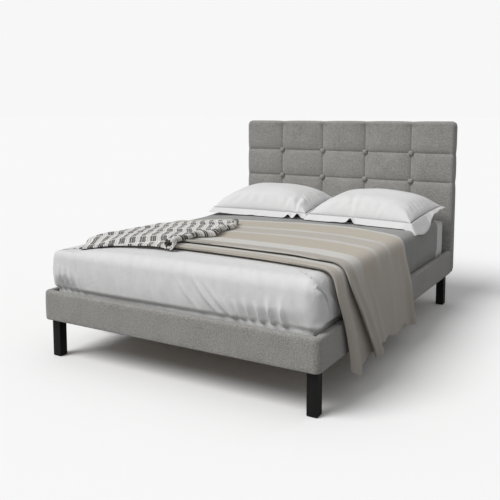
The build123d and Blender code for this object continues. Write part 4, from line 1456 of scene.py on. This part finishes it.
@dataclass
class Blanket:
    """The striped blanket: a lower layer, and an upper layer folded back on it."""

    hem_low: float = 0.118
    front_lower: tuple[tuple[float, float], ...] = (
        (-1.15, -0.60), (-0.90, -0.67), (-0.70, -0.735), (-0.56, -0.765), (0.0, -0.768), (0.36, -0.785),
        (0.60, -0.820), (0.70, -0.866), (0.76, -0.850), (0.88, -0.797), (1.02, -0.748), (1.15, -0.710))
    front_upper: tuple[tuple[float, float], ...] = (
        (-1.15, -0.47), (-0.90, -0.60), (-0.62, -0.645), (-0.07, -0.652), (0.20, -0.662), (0.40, -0.674),
        (0.54, -0.688), (0.66, -0.735), (0.72, -0.768), (0.78, -0.745), (0.89, -0.650), (1.00, -0.560),
        (1.15, -0.46))
    far_edge: tuple[tuple[float, float], ...] = (
        (-1.15, 0.02), (-0.70, 0.02), (-0.27, 0.092), (0.18, 0.185), (0.40, 0.168), (0.515, 0.140),
        (0.60, 0.090), (0.69, 0.00), (0.76, 0.01), (0.86, 0.08), (0.98, 0.12), (1.15, 0.125))
    folds: tuple[Fold, ...] = (
        Fold(-0.68, -0.46, 0.028, 0.036), Fold(-0.55, -0.34, 0.030, 0.010), Fold(-0.30, -0.17, 0.050, 0.007),
        Fold(-0.04, 0.08, 0.026, 0.030))

    def build(self, palette: Palette) -> None:
        """Make and dress the two layers."""
        section = bed_section()
        side = section.length_to(SHOULDER)
        hem = side + BED_TOP - self.hem_low + 0.02
        lower = self.lower(section, hem)
        upper = self.upper(section, hem)
        for piece, material, node, flat in (
                (lower, palette.blanket_lower, "blanket_lower_fold", (2 * hem, 0.90)),
                (upper, palette.blanket_upper, "blanket_upper_fold", (2 * hem, 0.84))):
            dress(piece, material)
            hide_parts(node)
            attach(piece, "blanket")
            LOG.info("%s: %d faces", piece.name, len(piece.data.polygons))

    def hang(self, s: float, y: float, down: float) -> tuple[float, float]:
        """The folds of the hanging sides, and the unevenness of the top."""
        out = sum(fold.height(y, down) for fold in self.folds)
        out += 0.006 * down * noise.noise(Vector((s * 3, y * 9, 2.2)))
        out += 0.0012 * noise.noise(Vector((s * 7, y * 7, 4.1))) * (1 - down)
        out += 0.0018 * streaks(s, y, 12, 0.05, 0.5, 6.0) * (1 - down)
        return max(out, -0.001 - 0.004 * down), 0.0

    def lower(self, section: BedSection, hem: float) -> bpy.types.Object:
        """Model the lower layer with its rolled front hem."""
        near, far = follow(self.front_lower), follow(self.far_edge)

        def right(v: float) -> float:
            """The uneven hem on the right side."""
            return hem + 0.03 * math.sin(v * 9) - 0.02 * v - 0.03 * (1 - ease(v / 0.09))

        sheet = DrapedSheet(section, lambda v: -hem + 0.03, right, near, lambda s: far(s) - 0.03, (230, 84),
                            turn=0.0075, under=0.03, settle_length=0.055)

        def lift(s: float, y: float, down: float) -> tuple[float, float]:
            """Folds, with the front corner of the side hanging forward in a soft roll."""
            out, move = self.hang(s, y, down)
            roll = 0.026 * down * bump(y, near(s) + 0.040, 0.030) + 0.010 * ease(down * 3) * \
                bump(y, near(s) + 0.050, 0.035)
            return out * 0.35 + roll + 0.006, move

        return sheet.build("blanket_lower_layer", lift, 0.004, (2 * hem, 0.925))

    def upper(self, section: BedSection, hem: float) -> bpy.types.Object:
        """Model the upper layer with its folded front edge standing over a shadowed gap."""
        near, far = follow(self.front_upper), follow(self.far_edge)

        def right(v: float) -> float:
            """The uneven hem of the right side."""
            return hem - 0.012 + 0.010 * math.sin(v * 11 + 1.0) + 0.006 * math.sin(v * 23) + \
                0.030 * ease((v - 0.72) / 0.25)

        sheet = DrapedSheet(section, lambda v: -hem, right, near, far, (240, 96), turn=0.006, under=0.05,
                            settle_length=0.06)

        def lift(s: float, y: float, down: float) -> tuple[float, float]:
            """Folds of the hanging side."""
            out, move = self.hang(s, y, down)
            gap = (0.004 + 0.012 * ease(down * 3)) * math.exp(-max(y - near(s), 0.0) / 0.045)
            return out + 0.0115 + 0.004 * down + gap, move

        return sheet.build("blanket_upper_layer", lift, 0.004, (2 * hem, 0.757))


@dataclass
class Throw:
    """The chevron throw, dropped across the left of the bed with its right edge rolled up."""

    left_edge: tuple[tuple[float, float], ...] = (
        (0.0, -0.565), (0.06, -0.590), (0.14, -0.625), (0.30, -0.665), (0.50, -0.695), (0.75, -0.700),
        (1.0, -0.650))
    near_edge: tuple[tuple[float, float], ...] = (
        (-0.75, -0.930), (-0.60, -0.912), (-0.53, -0.888), (-0.40, -0.843), (-0.276, -0.817), (-0.19, -0.802),
        (-0.115, -0.812), (-0.05, -0.812))
    far_edge: tuple[tuple[float, float], ...] = (
        (-0.75, -0.26), (-0.69, -0.22), (-0.64, -0.165), (-0.56, -0.13), (-0.45, -0.085), (-0.33, -0.020),
        (-0.27, -0.040), (-0.20, -0.065), (-0.05, -0.08))
    right_edge: tuple[tuple[float, float], ...] = (
        (0.0, -0.105), (0.07, -0.130), (0.16, -0.175), (0.24, -0.140), (0.34, -0.150), (0.39, -0.215),
        (0.43, -0.075), (0.53, -0.115), (0.64, -0.145), (0.72, -0.175), (0.76, -0.130), (0.86, -0.165),
        (1.0, -0.225))
    roll_radius: tuple[tuple[float, float], ...] = (
        (-0.83, 0.024), (-0.76, 0.022), (-0.71, 0.009), (-0.60, 0.009), (-0.50, 0.011), (-0.45, 0.018),
        (-0.36, 0.014), (-0.24, 0.011), (-0.19, 0.015), (-0.10, 0.013), (0.02, 0.010))
    thickness: float = 0.007
    rest_on: tuple[tuple[float, float], ...] = (
        (-0.98, 0.002), (-0.84, 0.003), (-0.80, 0.009), (-0.765, 0.018), (-0.715, 0.013), (-0.675, 0.024),
        (-0.60, 0.024), (-0.50, 0.018), (-0.20, 0.014), (0.02, 0.014), (0.12, 0.014))
    roll_turns: float = 1.6

    def build(self, palette: Palette) -> None:
        """Make and dress the throw."""
        self.section = bed_section()
        self.edge, self.rest = follow(self.right_edge), follow(self.rest_on)
        self.near, self.far = follow(self.near_edge), follow(self.far_edge)
        piece = join("chevron_throw", [self.flat_part(), self.rolled_part()])
        dress(piece, palette.knit)
        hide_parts("throw")
        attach(piece, "throw")
        LOG.info("throw: %d faces", len(piece.data.polygons))

    def waves(self, s: float, y: float) -> float:
        """Soft waves and a few crosswise rucks."""
        soft = 0.003 * noise.noise(Vector((s * 8, y * 8, 5.0))) + 0.0035 * streaks(s, y, 20, 0.05, 0.3, 3.0)
        return max(soft, -0.0015)

    def flat_part(self) -> bpy.types.Object:
        """Model the part that lies flat."""
        sheet = DrapedSheet(self.section, follow(self.left_edge), self.edge, self.near, self.far, (120, 170),
                            pattern_on_bed=True)

        def lift(s: float, y: float, down: float) -> tuple[float, float]:
            """Lie on whatever is below."""
            settled = 0.009 * ease((-0.30 - s) / 0.2) * ease((-0.74 - y) / 0.07)
            return self.rest(y) + self.thickness + 0.002 + self.waves(s, y) - settled, 0.0

        return sheet.build("throw_flat", lift, self.thickness, (0.70, 0.86))

    def rolled_part(self) -> bpy.types.Object:
        """Model the rolled right edge as a loose spiral that swells and thins along its length."""
        radius_at = follow(self.roll_radius)
        along, around = 150, 40
        piece = add_grid("throw_roll", along, around)
        points = points_of(piece)
        places = []
        for index, (v, t, _) in enumerate(points):
            s = self.edge(v)
            near, far = self.near(s) - 0.006, self.far(s) + 0.006
            y = near + (far - near) * v
            radius = radius_at(y) * (1 + 0.22 * noise.noise(Vector((y * 22, 1.0, 6.0))))
            angle = t * self.roll_turns * 2 * math.pi
            shrink = 1 - 0.52 * t
            reach = radius * shrink * (1 + 0.10 * noise.noise(Vector((y * 30, angle, 3.0))))
            turn = angle - math.pi / 2
            side, up = reach * math.cos(turn), radius + reach * math.sin(turn)
            floor = self.rest(y) + 0.002
            x, z, out_x, out_z = self.section.at(s + side)
            lean = 0.016 * math.sin(v * 17 + 1.0)
            height = z + out_z * (floor + up)
            points[index] = (x + out_x * (floor + up), y + 0.3 * lean,
                             sunk_height(x, height, sag(x, y), DRAPED_CLEAR + out_z * (floor + up)))
            places.append((s + angle * radius * 0.6, y))
        set_points(piece, points)
        set_uv(piece, places)
        apply_modifier(piece, "SOLIDIFY", thickness=self.thickness * 0.8, offset=1.0)
        smooth(piece, 70)
        return piece


@dataclass
class Pillow:
    """One pillow in a flanged pillowcase, shaped, blown up by a cloth simulation and laid down."""

    name: str
    body: str
    nodes: tuple[str, str]
    centre: tuple[float, float]
    size: tuple[float, float]
    turn: float
    tilt: float
    flange: tuple[float, float] = (0.012, 0.038)
    loft: float = 0.140
    pull_in: float = 0.010
    flap: float = 0.0
    notches: tuple[tuple[float, float, float], ...] = ()
    creases: tuple[tuple[float, float, float, float], ...] = ()
    cells: tuple[int, int] = (76, 60)
    frames: int = 18
    most_move: float = 0.010
    seed: float = 1.0

    def build(self, palette: Palette) -> None:
        """Make and dress the pillow."""
        piece = join(self.name, [self.blown(), self.flange_ring()])
        self.lay_down(piece)
        dress(piece, palette.white)
        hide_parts(*self.nodes)
        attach(piece, self.body)
        LOG.info("%s: %d faces", piece.name, len(piece.data.polygons))

    def seam(self, a: float, b: float) -> tuple[float, float]:
        """The place of a point of the case seen from above, for shares -1 to 1 of its width and depth."""
        half_x, half_y = self.size[0] / 2, self.size[1] / 2
        return (a * (half_x - self.pull_in * (1 - b * b)), b * (half_y - self.pull_in * (1 - a * a)))

    def puff(self, a: float, b: float) -> float:
        """How high the filled case stands over its seam."""
        across = max(0.0, 1 - abs(a) ** 2.6) ** 0.62
        along = max(0.0, 1 - abs(b) ** 2.8) ** 0.55
        return self.loft * across * along

    def blown(self) -> bpy.types.Object:
        """Shape a closed case and blow it up a little, so that its cloth puckers at the seams."""
        piece = add_grid(self.name, *self.cells)
        points = points_of(piece)
        shares = points[:, :2] * 2 - 1
        shares = np.sin(shares * math.pi / 2)
        for index, (a, b) in enumerate(shares):
            points[index] = (*self.seam(a, b), 0.0)
        set_points(piece, points)
        apply_modifier(piece, "SOLIDIFY", thickness=0.004, offset=0.0)
        points = points_of(piece)
        count = len(shares)
        for index in range(2 * count):
            a, b = shares[index % count]
            sign = 1 if points[index][2] > 0 else -1
            rise = self.puff(a, b)
            points[index][2] += sign * rise * (0.74 if sign > 0 else 0.26)
            if sign > 0:
                edge = 1 - max(abs(a), abs(b))
                around = math.atan2(b, a)
                points[index][2] += 0.0022 * bump(edge, 0.14, 0.10) * math.sin(around * 27 + self.seed * 5)
                points[index][2] += self.crease(*points[index][:2], rise)
                points[index][2] += 0.007 * rise / self.loft * noise.noise(
                    Vector((points[index][0] * 6, points[index][1] * 8, self.seed + 9)))
        set_points(piece, points)
        self.blow(piece, points)
        return piece

    def crease(self, x: float, y: float, rise: float) -> float:
        """The few deep creases that run up from the front seam: place, lean, length and depth of each."""
        up = y + self.size[1] / 2
        total = 0.0
        for place, lean, length, depth in self.creases:
            share = up / length
            if share < 1:
                spread = 0.008 + 0.018 * share
                total -= depth * (1 - share) * bump(x, place + lean * share, spread)
                total += 0.6 * depth * (1 - share) * bump(x, place + lean * share + 2 * spread, spread)
        return total * min(1.0, rise / 0.03)

    def blow(self, piece: bpy.types.Object, start: np.ndarray) -> None:
        """Run the cloth simulation and keep each point within a small move of where it started."""
        modifier = piece.modifiers.new("cloth", "CLOTH")
        settings = modifier.settings
        settings.quality = 5
        settings.mass = 0.3
        settings.tension_stiffness = 15
        settings.compression_stiffness = 15
        settings.bending_stiffness = 0.1
        settings.use_pressure = True
        settings.uniform_pressure_force = 4.0
        settings.effector_weights.gravity = 0.0
        modifier.point_cache.frame_end = self.frames
        for step in range(1, self.frames + 1):
            bpy.context.scene.frame_set(step)
        take(piece)
        bpy.ops.object.modifier_apply(modifier=modifier.name)
        bpy.context.scene.frame_set(1)
        move = points_of(piece) - start
        size = np.linalg.norm(move, axis=1, keepdims=True)
        set_points(piece, start + move * np.minimum(1.0, self.most_move / np.maximum(size, 1e-9)))

    def flange_ring(self) -> bpy.types.Object:
        """Model the flat border that is sewn round the case, turned up and down in slow waves."""
        steps, around = 5, 240
        piece = add_grid(self.name + "_flange", around, steps)
        places = points_of(piece)
        half_x, half_y = self.size[0] / 2, self.size[1] / 2
        for index, (u, v, _) in enumerate(places):
            a, b = self.on_square(u % 1.0)
            x, y = self.seam(a, b)
            push_x, push_y = (-0.004 + (wide + 0.004) * v for wide in self.flange)
            out_x = math.copysign(1.0, a) if abs(a) > 0.999 else a ** 25
            out_y = math.copysign(1.0, b) if abs(b) > 0.999 else b ** 25
            wave = 0.010 * noise.noise(Vector((x * 7, y * 7, self.seed + 4))) + \
                0.006 * noise.noise(Vector((x * 19, y * 19, self.seed + 2)))
            droop = 0.030 * v * (1 if y < 0 else 0.4)
            hang = self.flap * v * ease((x - half_x * 0.86) / 0.03) * bump(y, -half_y * 0.55, half_y * 0.75)
            lift = sum(rise * bump(x, place, width) for place, width, rise in self.notches) if b < -0.9 else 0.0
            places[index] = (x + out_x * push_x + 0.55 * hang, y + out_y * push_y + 0.35 * lift * v,
                             wave * v - droop - 0.75 * hang + lift * v)
        set_points(piece, places)
        take(piece)
        bpy.ops.object.mode_set(mode="EDIT")
        bpy.ops.mesh.select_all(action="SELECT")
        bpy.ops.mesh.remove_doubles(threshold=0.0001)
        bpy.ops.object.mode_set(mode="OBJECT")
        apply_modifier(piece, "SOLIDIFY", thickness=0.003, offset=0.0)
        face_outwards(piece)
        return piece

    @staticmethod
    def on_square(share: float) -> tuple[float, float]:
        """A point on the rim of the square from -1 to 1, for a share of the way round."""
        leg, along = divmod(share * 4, 1.0)
        way = along * 2 - 1
        return ((way, -1.0), (1.0, way), (-way, 1.0), (-1.0, -way))[int(leg) % 4]

    def lay_down(self, piece: bpy.types.Object) -> None:
        """Tilt the pillow against the headboard, flatten its underside and put it in its place."""
        points = points_of(piece)
        c, s = math.cos(math.radians(self.tilt)), math.sin(math.radians(self.tilt))
        hinge = -self.size[1] / 2
        y, z = points[:, 1] - hinge, points[:, 2].copy()
        points[:, 1], points[:, 2] = hinge + y * c - z * s, y * s + z * c
        c, s = math.cos(math.radians(self.turn)), math.sin(math.radians(self.turn))
        x, y = points[:, 0].copy(), points[:, 1].copy()
        points[:, 0], points[:, 1] = x * c - y * s + self.centre[0], x * s + y * c + self.centre[1]
        floor = BED_TOP + 0.002
        points[:, 2] += floor + 0.030
        on_bed = abs(points[:, 0]) < SHOULDER - 0.02
        points[:, 2] = np.where(on_bed, np.maximum(points[:, 2], floor), points[:, 2])
        set_points(piece, points)
        apply_modifier(piece, "SUBSURF", levels=1, render_levels=1)
        smooth(piece, 80)


def main() -> None:
    """Build the bed, piece by piece."""
    logging.basicConfig(level=logging.INFO, format="%(message)s")
    palette = make_palette()
    Studio().build()
    Framework().build(palette)
    Headboard().build(palette)
    Rails().build(palette)
    Bedding().build(palette)
    Blanket().build(palette)
    Throw().build(palette)
    Pillow("pillow_left_case", "pillow_left", ("pillowcase_left", "pillow_insert_left"),
           (-0.340, 0.622), (0.645, 0.484), 3.0, 5.0, seed=1.0,
           notches=((0.215, 0.016, 0.026), (0.275, 0.018, 0.034)),
           creases=((0.255, -0.03, 0.22, 0.016), (0.17, 0.02, 0.15, 0.006))).build(palette)
    Pillow("pillow_right_case", "pillow_right", ("pillowcase_right", "pillow_insert_right"),
           (0.347, 0.612), (0.645, 0.490), -4.0, 5.0, seed=2.0, flap=0.060,
           notches=((-0.035, 0.014, 0.032),),
           creases=((-0.040, -0.07, 0.24, 0.014), (0.10, 0.03, 0.12, 0.005))).build(palette)


if __name__ == "__main__":
    main()
